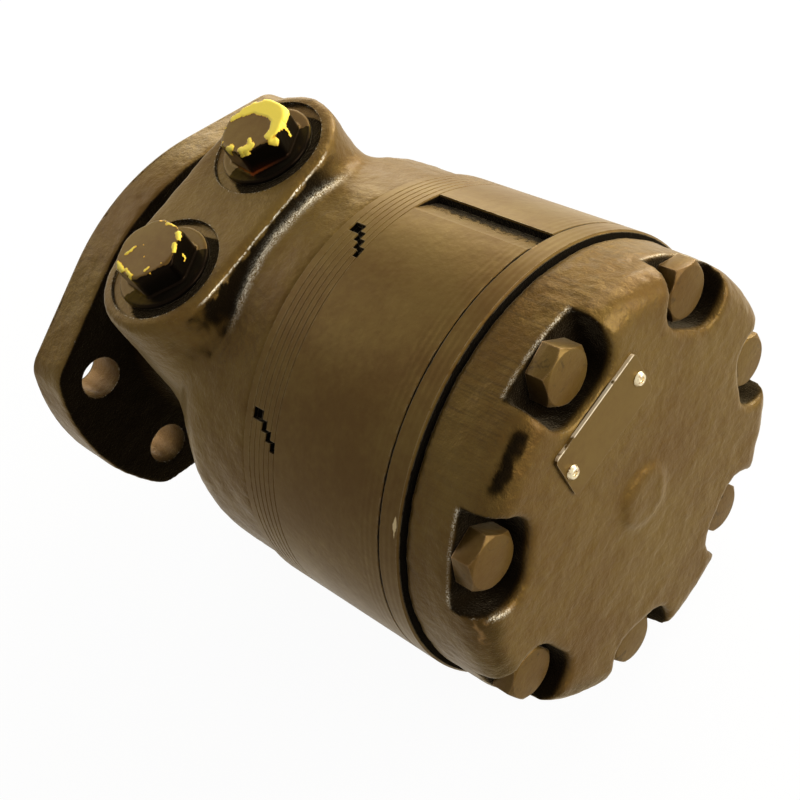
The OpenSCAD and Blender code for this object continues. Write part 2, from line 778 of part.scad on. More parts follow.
module plate_rivets() {
    head_r = rivet_head_d / 2;
    color("gold") stack_frame()
        for (side = [-1, 1])
            translate([side * rivet_pitch / 2, nameplate_offset, cover_face])
                rotate_extrude()
                    polygon([[0, -rivet_l], [rivet_d / 2, -rivet_l], [rivet_d / 2, nameplate_t],
                             [head_r, nameplate_t], [head_r, nameplate_t + rivet_head_h - 0.6],
                             [head_r - 0.7, nameplate_t + rivet_head_h],
                             [0, nameplate_t + rivet_head_h]]);
}

module port_axis(side) {
    translate([side * port_pitch / 2, 0, port_depth]) rotate([-90, 0, 0]) children();
}

// A moulded plug: hex head, round flange and a stub that fills the thread
module port_plug(side) {
    seat = port_face_h - spotface_t + 0.05;
    head_base = seat + plug_flange_t;
    stub_r = port_bore_d / 2 - plug_clearance;
    color("black") stack_frame() port_axis(side) {
        intersection() {
            translate([0, 0, head_base - 0.5]) rotate([0, 0, plug_head_turn])
                cylinder(r = plug_head_af / sqrt(3), h = plug_top_h - head_base + 0.5, $fn = 6);
            rotate_extrude()
                polygon([[0, seat], [plug_head_af * 0.56, seat],
                         [plug_head_af * 0.56, plug_top_h - 1], [plug_head_af * 0.5, plug_top_h],
                         [0, plug_top_h]]);
        }
        rotate_extrude()
            polygon([[0, seat - plug_stub_l], [stub_r - 1, seat - plug_stub_l],
                     [stub_r, seat - plug_stub_l + 1], [stub_r, seat],
                     [plug_flange_r, seat], [plug_flange_r, head_base - 0.5],
                     [plug_flange_r - 0.5, head_base], [0, head_base]]);
    }
}

module plug_seal(side) {
    seat = port_face_h - spotface_t;
    color("maroon") stack_frame() port_axis(side)
        translate([0, 0, seat - plug_seal_r]) rotate_extrude()
            translate([port_bore_d / 2 + plug_seal_r + 0.1, 0]) circle(r = plug_seal_r, $fn = 32);
}

housing();
output_shaft();
shaft_key();
dust_seal();
shaft_seal();
seal_backup_washer();
thrust_bearing();
front_bearing();
rear_bearing();
drive_link();
thrust_ball();
manifold_plate(1);  // manifold_plate_1
manifold_plate(2);  // manifold_plate_2
manifold_plate(3);  // manifold_plate_3
manifold_plate(4);  // manifold_plate_4
manifold_plate(5);  // manifold_plate_5
manifold_seal();
stator_ring();
stator_seal_front();
stator_seal_rear();
rotor();
roller(1);  // roller_1
roller(2);  // roller_2
roller(3);  // roller_3
roller(4);  // roller_4
roller(5);  // roller_5
roller(6);  // roller_6
roller(7);  // roller_7
balance_plate();
end_cover();
cover_seal();
cover_bolts();
nameplate();
plate_rivets();
port_plug(-1);  // port_plug_left
port_plug(1);  // port_plug_right
plug_seal(-1);  // plug_seal_left
plug_seal(1);  // plug_seal_right
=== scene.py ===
import math

import bmesh
import bpy
import numpy as np
from mathutils import Matrix, Vector


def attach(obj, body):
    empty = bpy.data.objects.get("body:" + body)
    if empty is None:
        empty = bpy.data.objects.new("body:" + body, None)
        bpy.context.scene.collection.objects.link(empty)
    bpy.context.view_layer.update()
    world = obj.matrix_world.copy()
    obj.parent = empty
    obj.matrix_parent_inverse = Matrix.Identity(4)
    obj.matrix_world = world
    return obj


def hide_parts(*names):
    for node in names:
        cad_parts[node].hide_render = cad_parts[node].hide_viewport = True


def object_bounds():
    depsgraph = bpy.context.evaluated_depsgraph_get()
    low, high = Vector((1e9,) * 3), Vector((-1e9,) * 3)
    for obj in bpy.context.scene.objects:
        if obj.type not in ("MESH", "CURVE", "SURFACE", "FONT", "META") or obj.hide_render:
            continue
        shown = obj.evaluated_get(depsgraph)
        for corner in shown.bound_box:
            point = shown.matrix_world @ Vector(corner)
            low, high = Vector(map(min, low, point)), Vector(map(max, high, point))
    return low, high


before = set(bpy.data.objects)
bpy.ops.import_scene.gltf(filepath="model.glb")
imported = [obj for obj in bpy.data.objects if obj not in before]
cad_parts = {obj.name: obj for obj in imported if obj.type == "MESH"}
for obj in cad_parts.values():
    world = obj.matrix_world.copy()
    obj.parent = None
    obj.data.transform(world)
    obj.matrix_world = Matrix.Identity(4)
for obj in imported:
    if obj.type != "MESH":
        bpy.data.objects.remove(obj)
cad_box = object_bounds()
MM = 0.001
BOLTS = 7
BOLT_RADIUS = 53  # from the shaft axis to the cover bolts
BOLT_ANGLES = [math.radians(360 / BOLTS * k) for k in range(BOLTS)]
BOLT_PLACES = [(BOLT_RADIUS * math.sin(a), BOLT_RADIUS * math.cos(a)) for a in BOLT_ANGLES]
FLANGE_HOLE_X = 49.3
FLANGE_HOLE_Z = 20
FLANGE_HOLES = [(x * FLANGE_HOLE_X, z * FLANGE_HOLE_Z) for x in (-1, 1) for z in (-1, 1)]
FACE_END = 0.5  # depth at which the flange's machined face ends
BAND_START = 99.3  # depth at which the housing's machined rear band starts
BAND_END = 101.9
COVER_START = 157.9
BOLT_SEAT = 172.8
PLATE_FACE = 183.5
PORT_X = 22.665
PORT_DEPTH = 59.65
PLUG_TURN = 24  # degrees by which the plugs' hexes are turned


def add_object(name, data):
    made = bpy.data.objects.new(name, data)
    bpy.context.scene.collection.objects.link(made)
    return made


# Camera and lamps

def set_camera():
    """The camera solved from the photograph: angles in degrees, lengths in mm, image points in pixels."""
    turn, lift, roll = (math.radians(v) for v in (-21.433, 47.415, -36.176))
    image_width = 800
    focal = 1359.907
    distance = 390.296
    aim = (441.854, 398.923)
    aim_depth = 111.8
    centre = (394.805, 375.759)
    back = Vector((math.sin(turn) * math.cos(lift), -math.cos(turn) * math.cos(lift), math.sin(lift)))
    level = (-back).cross(Vector((0, 0, 1))).normalized()
    below = (-back).cross(level)
    right = math.cos(roll) * level - math.sin(roll) * below
    down = math.sin(roll) * level + math.cos(roll) * below
    aside, under = ((a - c) / focal * distance for a, c in zip(aim, centre))
    place = back * distance - right * aside - down * under
    place.y -= aim_depth
    data = bpy.data.cameras.new("camera")
    data.sensor_width = 36
    data.lens = focal / image_width * data.sensor_width
    data.shift_x = (image_width / 2 - centre[0]) / image_width
    data.shift_y = (centre[1] - image_width / 2) / image_width
    data.clip_start = 0.01
    camera = add_object("camera", data)
    camera.matrix_world = Matrix((
        (right.x, -down.x, back.x, place.x * MM),
        (right.y, -down.y, back.y, place.y * MM),
        (right.z, -down.z, back.z, place.z * MM),
        (0, 0, 0, 1)))
    bpy.context.scene.camera = camera


def area_light(name, place, size, power, color):
    """A rectangular lamp that faces the middle of the motor. Place and size are in metres."""
    data = bpy.data.lights.new(name, "AREA")
    data.shape = "RECTANGLE"
    data.size, data.size_y = size
    data.energy = power
    data.color = color
    lamp = add_object(name, data)
    lamp.location = place
    middle = Vector((0, -0.09, 0))
    back = (lamp.location - middle).normalized()
    lamp.rotation_euler = back.to_track_quat("Z", "Y").to_euler()


def set_lights():
    warm = (1.0, 0.97, 0.88)
    area_light("key", (0.66, -0.09, 0.34), (0.5, 0.5), 4.0, warm)
    area_light("low", (0.75, -0.06, 0.02), (0.4, 0.2), 4.0, warm)
    area_light("rim", (0.52, 0.43, 0.11), (0.4, 0.4), 2.1, warm)
    area_light("front", (0.36, -0.78, 0.14), (0.5, 0.5), 6.5, warm)
    area_light("back", (0.0, 0.52, 0.43), (0.4, 0.4), 1.0, (1, 1, 1))


# Node helpers

class Signal:
    """A value that runs through a node tree. Arithmetic on it adds Math nodes to the tree."""

    def __init__(self, socket):
        self.socket = socket
        self.tree = socket.id_data

    def __add__(self, other):
        return math_of("ADD", self, other)

    def __sub__(self, other):
        return math_of("SUBTRACT", self, other)

    def __rsub__(self, other):
        return math_of("SUBTRACT", other, self)

    def __mul__(self, other):
        return math_of("MULTIPLY", self, other)

    def __truediv__(self, other):
        return math_of("DIVIDE", self, other)

    def __abs__(self):
        return math_of("ABSOLUTE", self)


def signals_of(node):
    """A node's outputs by their labels."""
    return {output.name: Signal(output) for output in node.outputs}


def new_node(tree, kind, **settings):
    made = tree.nodes.new(kind)
    for key, value in settings.items():
        setattr(made, key, value)
    return made


def feed(socket, value):
    """Links a signal or an output to a socket, or sets the socket to a plain value."""
    if isinstance(value, Signal):
        value = value.socket
    if isinstance(value, bpy.types.NodeSocket):
        socket.id_data.links.new(value, socket)
    elif socket.type == "RGBA" and len(value) == 3:
        socket.default_value = (*value, 1)
    else:
        socket.default_value = value


def feed_all(node, values):
    """Feeds several inputs of a node, each by its label or its number."""
    for key, value in values.items():
        feed(node.inputs[key], value)


def math_of(operation, *values, clamp=False):
    tree = next(value.tree for value in values if isinstance(value, Signal))
    made = new_node(tree, "ShaderNodeMath", operation=operation, use_clamp=clamp)
    feed_all(made, dict(enumerate(values)))
    return Signal(made.outputs[0])


def larger(a, b):
    return math_of("MAXIMUM", a, b)


def blend_of(amount, a, b):
    """A colour that goes from a to b as amount goes from 0 to 1."""
    made = new_node(amount.tree, "ShaderNodeMix", data_type="RGBA")
    feed_all(made, {0: amount, 6: a, 7: b})
    return Signal(made.outputs[2])


def step_of(value, low, high, start=0.0, end=1.0):
    """A smooth step from start to end as value goes from low to high."""
    made = new_node(value.tree, "ShaderNodeMapRange", interpolation_type="SMOOTHSTEP")
    feed_all(made, {"Value": value, "From Min": low, "From Max": high, "To Min": start, "To Max": end})
    return Signal(made.outputs[0])


def noise_of(coords, scale, detail=3.0, roughness=0.5, distortion=0.0):
    made = new_node(coords.tree, "ShaderNodeTexNoise")
    feed_all(made, {"Vector": coords, "Scale": scale, "Detail": detail, "Roughness": roughness,
                    "Distortion": distortion})
    return Signal(made.outputs["Fac"])


def parts_of(coords):
    """The x, y and z of coordinates."""
    made = new_node(coords.tree, "ShaderNodeSeparateXYZ")
    feed(made.inputs[0], coords)
    return [Signal(output) for output in made.outputs]


def vector_of(tree, x, y, z):
    made = new_node(tree, "ShaderNodeCombineXYZ")
    feed_all(made, {0: x, 1: y, 2: z})
    return Signal(made.outputs[0])


def axis_radius(coords):
    """Distance from the shaft axis."""
    x, _, z = parts_of(coords)
    return math_of("SQRT", x * x + z * z)


def new_tree(kind, name, inputs, outputs):
    """A node group with labelled inputs and outputs: its tree, its given signals and its output node."""
    tree = bpy.data.node_groups.new(name, kind)
    for direction, sockets in (("INPUT", inputs), ("OUTPUT", outputs)):
        for label, socket_kind in sockets.items():
            tree.interface.new_socket(label, in_out=direction, socket_type="NodeSocket" + socket_kind)
    return tree, signals_of(new_node(tree, "NodeGroupInput")), new_node(tree, "NodeGroupOutput")


def use_group(group, coords, **values):
    """Places a shared effect in a material and gives its outputs by label."""
    made = new_node(coords.tree, "ShaderNodeGroup", node_tree=group)
    feed_all(made, {"Coords": coords, **values})
    return signals_of(made)


# Shared effects

def make_cast_skin():
    """Sand-cast iron under paint: soft lumps, orange peel and grains."""
    group, given, result = new_tree(
        "ShaderNodeTree", "cast_skin", {"Coords": "Vector", "Peel": "Float", "Grain": "Float"},
        {"Height": "Float", "Grain": "Float"})
    lumps = noise_of(given["Coords"], 170, 2, 0.5)
    peel = noise_of(given["Coords"], 620, 2.5, 0.55)
    grain = noise_of(given["Coords"], 2100, 2, 0.6)
    height = lumps * 0.8 + (peel * (given["Peel"] * 0.5) + grain * (given["Grain"] * 0.3))
    feed_all(result, {"Height": height, "Grain": grain})
    return group


def make_turned_lines():
    """Fine lines left by turning about the shaft axis."""
    group, given, result = new_tree(
        "ShaderNodeTree", "turned_lines", {"Coords": "Vector", "Pitch": "Float"}, {"Height": "Float"})
    along = parts_of(given["Coords"])[1] / given["Pitch"]
    drift = noise_of(given["Coords"], 40, 1) * 0.6
    across = axis_radius(given["Coords"]) * 60
    feed(result.inputs["Height"], noise_of(vector_of(group, across, along, drift), 1, 3, 0.7))
    return group


def make_edge_wear():
    """A mask over sharp edges, broken up by noise."""
    group, given, result = new_tree(
        "ShaderNodeTree", "edge_wear",
        {"Coords": "Vector", "Width": "Float", "Amount": "Float", "Scale": "Float"}, {"Mask": "Float"})
    rounded = new_node(group, "ShaderNodeBevel", samples=6)
    feed(rounded.inputs["Radius"], given["Width"])
    flat = new_node(group, "ShaderNodeNewGeometry").outputs["True Normal"]
    likeness = new_node(group, "ShaderNodeVectorMath", operation="DOT_PRODUCT")
    feed_all(likeness, {0: rounded.outputs[0], 1: flat})
    edge = step_of(Signal(likeness.outputs["Value"]), 0.995, 0.80)
    broken = noise_of(given["Coords"], given["Scale"], 3, 0.6)
    low = (1.0 - given["Amount"]) * 0.75
    feed(result.inputs["Mask"], edge * step_of(broken, low, low + 0.08))
    return group


def make_paint_tone():
    """Olive-brown paint: a slow drift between two tones, darkened by a shade mask."""
    group, given, result = new_tree(
        "ShaderNodeTree", "paint_tone",
        {"Coords": "Vector", "Light Tone": "Color", "Dark Tone": "Color", "Deep Tone": "Color",
         "Shade": "Float"}, {"Color": "Color", "Roughness": "Float"})
    drift = noise_of(given["Coords"], 26, 3, 0.55)
    fine = noise_of(given["Coords"], 420, 2, 0.6)
    mix = drift * 0.75 + fine * 0.25
    tone = blend_of(step_of(mix, 0.34, 0.66), given["Dark Tone"], given["Light Tone"])
    feed_all(result, {"Color": blend_of(given["Shade"], tone, given["Deep Tone"]),
                      "Roughness": step_of(mix, 0.3, 0.7, 0.47, 0.36)})
    return group


CAST_SKIN = make_cast_skin()
TURNED_LINES = make_turned_lines()
EDGE_WEAR = make_edge_wear()
PAINT_TONE = make_paint_tone()


# Materials

OLIVE_LIGHT = (0.130, 0.078, 0.0175)
OLIVE_DARK = (0.095, 0.048, 0.0095)
# OLIVE_DEEP is the colour of painted shade, and of the seams' dark lines
OLIVE_DEEP = (0.0035, 0.0025, 0.0020)
SCRAPED = (0.045, 0.025, 0.008)
SCUFFED = (0.022, 0.012, 0.005)
# Colour of rust, and of the painted light on the flange holes' walls
RUST_AND_LIT_HOLES = (0.36, 0.20, 0.075)
WORN_RIM = (0.36, 0.29, 0.18)
SEAM_RUST = (0.30, 0.17, 0.07)
CHIPPED = (0.55, 0.42, 0.22)
GLINT = (0.72, 0.66, 0.52)
COPPERY = (0.80, 0.50, 0.27)
# Colour of edge wear, and of the painted highlight on the plate's upper edge
RUBBED_AND_LIT_EDGE = (0.80, 0.68, 0.50)
BRASS = (0.78, 0.66, 0.42)
BRASS_STAIN = (0.30, 0.14, 0.05)
RUBBER_BLACK = (0.012, 0.011, 0.010)
RUBBER_DUST = (0.06, 0.055, 0.05)
PLUG_BLACK = (0.005, 0.003, 0.0018)
PLUG_AMBER = (0.08, 0.016, 0.003)
YELLOW_THIN = (0.92, 0.50, 0.04)
YELLOW_THICK = (1.0, 0.79, 0.10)
SHEEN = 0.42
SHADE_SHEEN = 0.7
GLOSS = 0.25


def new_material(name):
    material = bpy.data.materials.new(name)
    material.use_nodes = True
    return material, next(n for n in material.node_tree.nodes if n.type == "BSDF_PRINCIPLED")


def material_of(name, recipe, **settings):
    """A material whose recipe works out the inputs of its surface from the object's coordinates."""
    material, surface = new_material(name)
    coords = Signal(new_node(material.node_tree, "ShaderNodeTexCoord").outputs["Object"])
    feed_all(surface, recipe(coords, **settings))
    return material


def point_value(coords, name):
    """A value that the mesh carries at its points."""
    return Signal(new_node(coords.tree, "ShaderNodeAttribute", attribute_name=name).outputs["Fac"])


def olive_tone(coords, shade=0.0):
    """The paint's colour and roughness."""
    tones = {"Light Tone": OLIVE_LIGHT, "Dark Tone": OLIVE_DARK, "Deep Tone": OLIVE_DEEP}
    return use_group(PAINT_TONE, coords, Shade=shade, **tones)


def satin(dull=None):
    """The paint's own shine: a warm satin, partly like metal, under a thin gloss that dull takes away."""
    return {
        "Metallic": SHEEN, "Specular IOR Level": 0.05, "Specular Tint": (1.0, 0.80, 0.46),
        "Coat Weight": GLOSS if dull is None else step_of(dull, 0.0, 0.8, GLOSS, 0.0),
        "Coat Roughness": 0.26, "Coat IOR": 1.28,
        "Sheen Weight": 0.21, "Sheen Roughness": 0.35, "Sheen Tint": (1.0, 0.80, 0.52)}


def bumped(height, distance, under=None):
    """The normals that a height gives to a surface, over the bumps under it if there are any."""
    bump = new_node(height.tree, "ShaderNodeBump")
    feed_all(bump, {"Height": height, "Distance": distance, "Strength": 1.0})
    if under is not None:
        feed(bump.inputs["Normal"], under)
    return Signal(bump.outputs[0])


def boss_edge_glint(coords):
    """A painted glint as a fine line on the rim of the port boss, on its side towards the cover."""
    x, y, z = parts_of(coords)
    beside = larger(abs(x) - PORT_X * MM, 0.0)
    behind = y * -1 - PORT_DEPTH * MM
    out = math_of("SQRT", beside * beside + behind * behind)
    line = step_of(abs(out - 20 * MM), 0.28 * MM, 0.06 * MM)
    high = step_of(z, 63.6 * MM, 64.2 * MM) * step_of(beside, 7 * MM, 1 * MM)
    high = high * step_of(behind, 4 * MM, 9 * MM)
    broken = step_of(noise_of(coords, 1300, 4, 0.7), 0.42, 0.54)
    broken = broken * step_of(noise_of(coords, 190, 2), 0.36, 0.50, 0.35, 1.0)
    return line * high * (broken * 0.7)


def cast_paint(coords):
    """Paint over sand-cast iron, darker and rougher under painted shade, with painted glints on its edges
    and rims.
    """
    # The mesh's shade value is painted shade; its glint value below is a painted glint
    shade = point_value(coords, "shade")
    skin = use_group(CAST_SKIN, coords, Peel=1.4, Grain=shade * 2.5 + 0.8)
    tone = olive_tone(coords, shade * 0.93)
    wear = use_group(EDGE_WEAR, coords, Width=0.7 * MM, Amount=0.45, Scale=700)["Mask"]
    specks = step_of(noise_of(coords, 3000, 3, 0.75), 0.46, 0.56)
    # Edge wear that shows as a painted glint where the grain is high
    thin = wear * step_of(skin["Grain"], 0.5, 0.62, 0.0, 0.5)
    glint = larger(larger(thin, point_value(coords, "glint") * specks), boss_edge_glint(coords))
    x, y, z = parts_of(coords)
    strokes = noise_of(vector_of(coords.tree, x * 1500, y * 45, z * 1500), 1, 2, 0.5)
    on_cover = step_of(axis_radius(coords), 60.2 * MM, 60.8 * MM) * step_of(y, -158.5 * MM, -160 * MM)
    upper = on_cover * step_of(x, -34 * MM, -12 * MM, 0.12, 0.45)
    # Rust on the cover, and painted light on the walls of the housing's flange holes
    rust = point_value(coords, "worn") * step_of(skin["Grain"], 0.3, 0.5, 0.6, 1.0)
    color = blend_of(upper * step_of(strokes, 0.45, 0.7), tone["Color"], SCRAPED)
    sheen = larger(step_of(glint, 0.0, 1.0, SHEEN, 0.85), step_of(shade, 0.1, 0.9, SHEEN, SHADE_SHEEN))
    return {
        **satin(shade),
        "Base Color": blend_of(glint, blend_of(rust, color, RUST_AND_LIT_HOLES), GLINT),
        "Roughness": larger(tone["Roughness"], step_of(shade, 0.2, 0.9, 0.3, 0.9)),
        "Metallic": sheen,
        "Normal": bumped(skin["Height"], 0.4 * MM)}


def seam_marks(coords, color, near):
    """Chips of rust along a seam, and the seam's own dark line. near is the distance from the seam."""
    chips = step_of(noise_of(coords, 300, 4, 0.7), 0.60, 0.66)
    rust = step_of(near, 1.1 * MM, 0.2 * MM) * chips
    color = blend_of(rust * 0.8, color, SEAM_RUST)
    uneven = noise_of(coords, 420, 3, 0.6) * (0.7 * MM)
    return blend_of(step_of(near - uneven, 0.12 * MM, -0.10 * MM, 0.0, 0.9), color, OLIVE_DEEP)


def chip_mark(coords, x_place, depth):
    """A small ragged diamond on the upper side, where the paint has chipped off."""
    x, y, z = parts_of(coords)
    spot = abs(y + depth * MM) / (0.8 * MM) + abs(x - x_place * MM) / (2.2 * MM)
    spot = spot + noise_of(coords, 500, 3, 0.7) * 1.4
    return step_of(z, 0.0, 1 * MM) * step_of(spot, 1.65, 1.55)


def turned_paint(coords, pitch=0.5, depth=0.01, width=0.4, wear_amount=0.45, rim=62.25, skin=0.06,
                 seam=None, slope=None, chip=None):
    """Paint over a turned surface: faint lines, scuffed rims and painted shade in cut-outs below the rim.
    skin is how deep the paint's roughness is, seam where a seam is, slope the x below which a cut-out's
    painted shade fades where its floor comes up, and chip the x and depth of a chip in the paint, all in
    millimetres."""
    x, y, _ = parts_of(coords)
    # Painted shade in cut-outs below the rim, lighter where a floor comes up
    shade_below_rim = step_of(axis_radius(coords), (rim + 0.3) * MM, rim * MM)
    if slope is not None:
        ragged = (noise_of(coords, 700, 4, 0.7) - 0.5) * (12 * MM)
        shade_below_rim = shade_below_rim * step_of(x + ragged, slope * MM, (slope + 2.2) * MM, 0.1, 1.0)
    tone = olive_tone(coords, shade_below_rim)
    wear = use_group(EDGE_WEAR, coords, Width=width * MM, Amount=wear_amount, Scale=420)["Mask"]
    color = blend_of(wear * 0.7, tone["Color"], WORN_RIM)
    lines = use_group(TURNED_LINES, coords, Pitch=pitch * MM)["Height"]
    if seam is not None:
        near = abs(y + seam * MM)
        color = seam_marks(coords, color, near)
        swell = math_of("SINE", near * (2 * math.pi / (1.9 * MM))) * step_of(near, 8.5 * MM, 4.5 * MM)
        lines = lines + swell * (0.018 / depth)
    if chip is not None:
        color = blend_of(chip_mark(coords, *chip), color, CHIPPED)
    rough = use_group(CAST_SKIN, coords, Peel=0.6, Grain=shade_below_rim * 9.0)["Height"]
    return {
        **satin(shade_below_rim),
        "Base Color": color,
        "Roughness": larger(tone["Roughness"], step_of(shade_below_rim, 0.2, 0.9, 0.3, 0.9)),
        "Metallic": step_of(shade_below_rim, 0.0, 1.0, SHEEN, SHADE_SHEEN),
        "Normal": bumped(rough, skin * MM, under=bumped(lines, depth * MM))}


def bolt_paint(coords):
    """Painted bolt heads: flats scuffed by the spanner, and coppery corners of edge wear and painted
    highlight.
    """
    tone = olive_tone(coords)
    # Edge wear on the corners, in a coppery colour that is also a painted highlight
    wear = use_group(EDGE_WEAR, coords, Width=0.5 * MM, Amount=0.85, Scale=330)["Mask"]
    scuffs = step_of(noise_of(coords, 210, 5, 0.7, 1.5), 0.56, 0.70, 0.0, 0.55)
    return {
        **satin(),
        "Base Color": blend_of(wear * 0.9, blend_of(scuffs, tone["Color"], SCUFFED), COPPERY),
        "Roughness": tone["Roughness"],
        "Normal": bumped(use_group(CAST_SKIN, coords, Peel=1.2, Grain=0.3)["Height"], 0.22 * MM)}


def plate_paint(coords):
    """Thin painted plate with a painted highlight along its upper edge, and a little pale edge wear."""
    tone = olive_tone(coords)
    wear = use_group(EDGE_WEAR, coords, Width=0.35 * MM, Amount=0.75, Scale=160)["Mask"]
    # A painted highlight along the plate's upper edge
    upper_edge_highlight = step_of(parts_of(coords)[2], 42.88 * MM, 43.12 * MM)
    upper_edge_highlight = upper_edge_highlight * step_of(noise_of(coords, 240, 3), 0.34, 0.42)
    return {
        **satin(),
        "Base Color": blend_of(larger(wear * 0.15, upper_edge_highlight), tone["Color"], RUBBED_AND_LIT_EDGE),
        "Roughness": tone["Roughness"],
        "Normal": bumped(use_group(CAST_SKIN, coords, Peel=0.3, Grain=0.2)["Height"], 0.08 * MM)}


def stained_brass(coords):
    """Brass rivet heads with brown stains."""
    stain = step_of(noise_of(coords, 900, 3, 0.6), 0.52, 0.66)
    return {
        "Base Color": blend_of(stain, BRASS, BRASS_STAIN),
        "Metallic": step_of(stain, 0.0, 1.0, 0.9, 0.3),
        "Roughness": 0.32,
        "Normal": bumped(noise_of(coords, 1500, 2), 0.08 * MM)}


def steel(coords, color, roughness, scale):
    """Ground or polished steel with fine marks."""
    marks = noise_of(coords, scale, 4, 0.65)
    return {
        "Base Color": blend_of(marks, color, tuple(v * 0.72 for v in color)),
        "Roughness": step_of(marks, 0.3, 0.7, roughness - 0.06, roughness + 0.08),
        "Metallic": 1.0,
        "Normal": bumped(use_group(TURNED_LINES, coords, Pitch=0.3 * MM)["Height"], 0.004 * MM)}


def rubber(coords):
    """Black seal rubber with dust on it."""
    dust = step_of(noise_of(coords, 350, 4, 0.7), 0.45, 0.75)
    return {
        "Base Color": blend_of(dust * 0.5, RUBBER_BLACK, RUBBER_DUST),
        "Roughness": step_of(dust, 0.0, 1.0, 0.55, 0.75),
        "Normal": bumped(noise_of(coords, 2500, 2), 0.02 * MM)}


def plug_plastic(coords):
    """Black moulded plug: its top painted over, painted light in olive on its flange's lit side, thick
    yellow paint at its rim, and a painted amber glow where light would shine through the thin plastic.
    """
    fine = (noise_of(coords, 900, 3, 0.6) - 0.5) * 0.5
    yellow = step_of(point_value(coords, "yellow") + fine, 0.47, 0.53)
    # Paint on the top, and painted light in olive on the flange's lit side
    over = step_of(point_value(coords, "overspray") + fine, 0.46, 0.54)
    painted = larger(over, yellow)
    # The black body with its painted amber glow
    body = blend_of(point_value(coords, "amber"), PLUG_BLACK, PLUG_AMBER)
    thick = step_of(point_value(coords, "yellow"), 0.50, 0.66)
    color = blend_of(over, body, olive_tone(coords)["Color"])
    return {
        **satin(1.0 - painted),
        "Base Color": blend_of(yellow, color, blend_of(thick, YELLOW_THIN, YELLOW_THICK)),
        "Roughness": step_of(painted, 0.0, 1.0, 0.28, 0.44),
        "Metallic": step_of(painted, 0.0, 1.0, 0.9, (1.0 - yellow) * SHEEN),
        "Normal": bumped(painted * 0.5 + noise_of(coords, 600, 3) * 0.3, 0.18 * MM)}


MATERIALS = {
    "cast": material_of("cast_paint", cast_paint),
    "stator": material_of("stator_paint", turned_paint, pitch=0.6, depth=0.006, wear_amount=0.4, skin=0.22,
                          seam=151.0, slope=27.8),
    "plate": material_of("manifold_paint", turned_paint, pitch=0.4, depth=0.012, width=0.25,
                         wear_amount=0.8),
    "balance": material_of("balance_paint", turned_paint, width=0.5, wear_amount=0.5, seam=151.0,
                           chip=(-47.5, 156.2)),
    "band": material_of("band_paint", turned_paint),
    "face": material_of("face_paint", turned_paint, pitch=0.4, rim=0.0),
    "bolt": material_of("bolt_paint", bolt_paint),
    "nameplate": material_of("plate_paint", plate_paint),
    "rivet": material_of("rivet_brass", stained_brass),
    "shaft": material_of("shaft_steel", steel, color=(0.55, 0.54, 0.52), roughness=0.3, scale=300),
    "gear": material_of("gear_steel", steel, color=(0.45, 0.45, 0.46), roughness=0.28, scale=420),
    "bearing": material_of("bearing_steel", steel, color=(0.62, 0.62, 0.63), roughness=0.2, scale=500),
    "rubber": material_of("seal_rubber", rubber),
    "plug": material_of("plug_plastic", plug_plastic),
}


# Castings

def object_from(work, name):
    """Turns a bmesh into an object and frees it."""
    mesh = bpy.data.meshes.new(name)
    work.to_mesh(mesh)
    work.free()
    return add_object(name, mesh)


def mesh_copy(name, node):
    """A merged copy of a CAD node's mesh, as an object of its own."""
    work = bmesh.new()
    work.from_mesh(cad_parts[node].data)
    bmesh.ops.remove_doubles(work, verts=work.verts, dist=0.002 * MM)
    return object_from(work, name)


def turned_solid(profile, x, z, steps):
    """A closed solid turned about an axis along Y. profile holds (radius, depth), from axis to axis."""
    work = bmesh.new()
    turns = [2 * math.pi * i / steps for i in range(steps)]
    rings = []
    for r, depth in profile:
        rings.append([work.verts.new(((x + r * math.sin(a)) * MM, -depth * MM, (z + r * math.cos(a)) * MM))
                      for a in (turns if r else [0])])
    for low, high in zip(rings, rings[1:]):
        for i in range(steps):
            j = (i + 1) % steps
            if len(low) == 1:
                work.faces.new((low[0], high[i], high[j]))
            elif len(high) == 1:
                work.faces.new((low[i], high[0], low[j]))
            else:
                work.faces.new((low[i], high[i], high[j], low[j]))
    bmesh.ops.recalc_face_normals(work, faces=work.faces)
    return object_from(work, "turned_solid")


def rod(x, z, r, start, end, steps=64):
    """A cylinder along the shaft's direction, between two depths."""
    return turned_solid([(0, start), (r, start), (r, end), (0, end)], x, z, steps)


def core(r, start, end):
    """A cylinder on the shaft axis."""
    return rod(0, 0, r, start, end, 96)


def post(x, r, low, high, steps=64, rings=()):
    """A cylinder up a port's axis, with rings of points on its lower end where a cut floor needs them."""
    profile = [(0, -high), (r, -high), (r, -low), *((ring, -low) for ring in rings), (0, -low)]
    made = turned_solid(profile, 0, 0, steps)
    upright = Matrix.Rotation(math.radians(90), 4, "X")
    made.data.transform(Matrix.Translation((x * MM, -PORT_DEPTH * MM, 0)) @ upright)
    return made


def slab(start, end):
    """A block between two depths, wider than the motor."""
    work = bmesh.new()
    bmesh.ops.create_cube(work, size=1)
    made = object_from(work, "slab")
    made.data.transform(Matrix.Translation((0, -(start + end) / 2 * MM, 0))
                        @ Matrix.Diagonal((300 * MM, (end - start) * MM, 300 * MM, 1)))
    return made


def settle(obj):
    """Replaces an object's mesh by its evaluated one, with the modifiers gone."""
    view = bpy.context.evaluated_depsgraph_get()
    mesh = bpy.data.meshes.new_from_object(obj.evaluated_get(view))
    obj.modifiers.clear()
    obj.data = mesh
    return obj


def combine(obj, tools, operation):
    """Cuts each tool away from an object, or adds it, and removes the tool."""
    for tool in tools:
        modifier = obj.modifiers.new("cut", "BOOLEAN")
        modifier.operation = operation
        modifier.solver = "MANIFOLD"
        modifier.object = tool
        settle(obj)
        bpy.data.objects.remove(tool)
    return obj


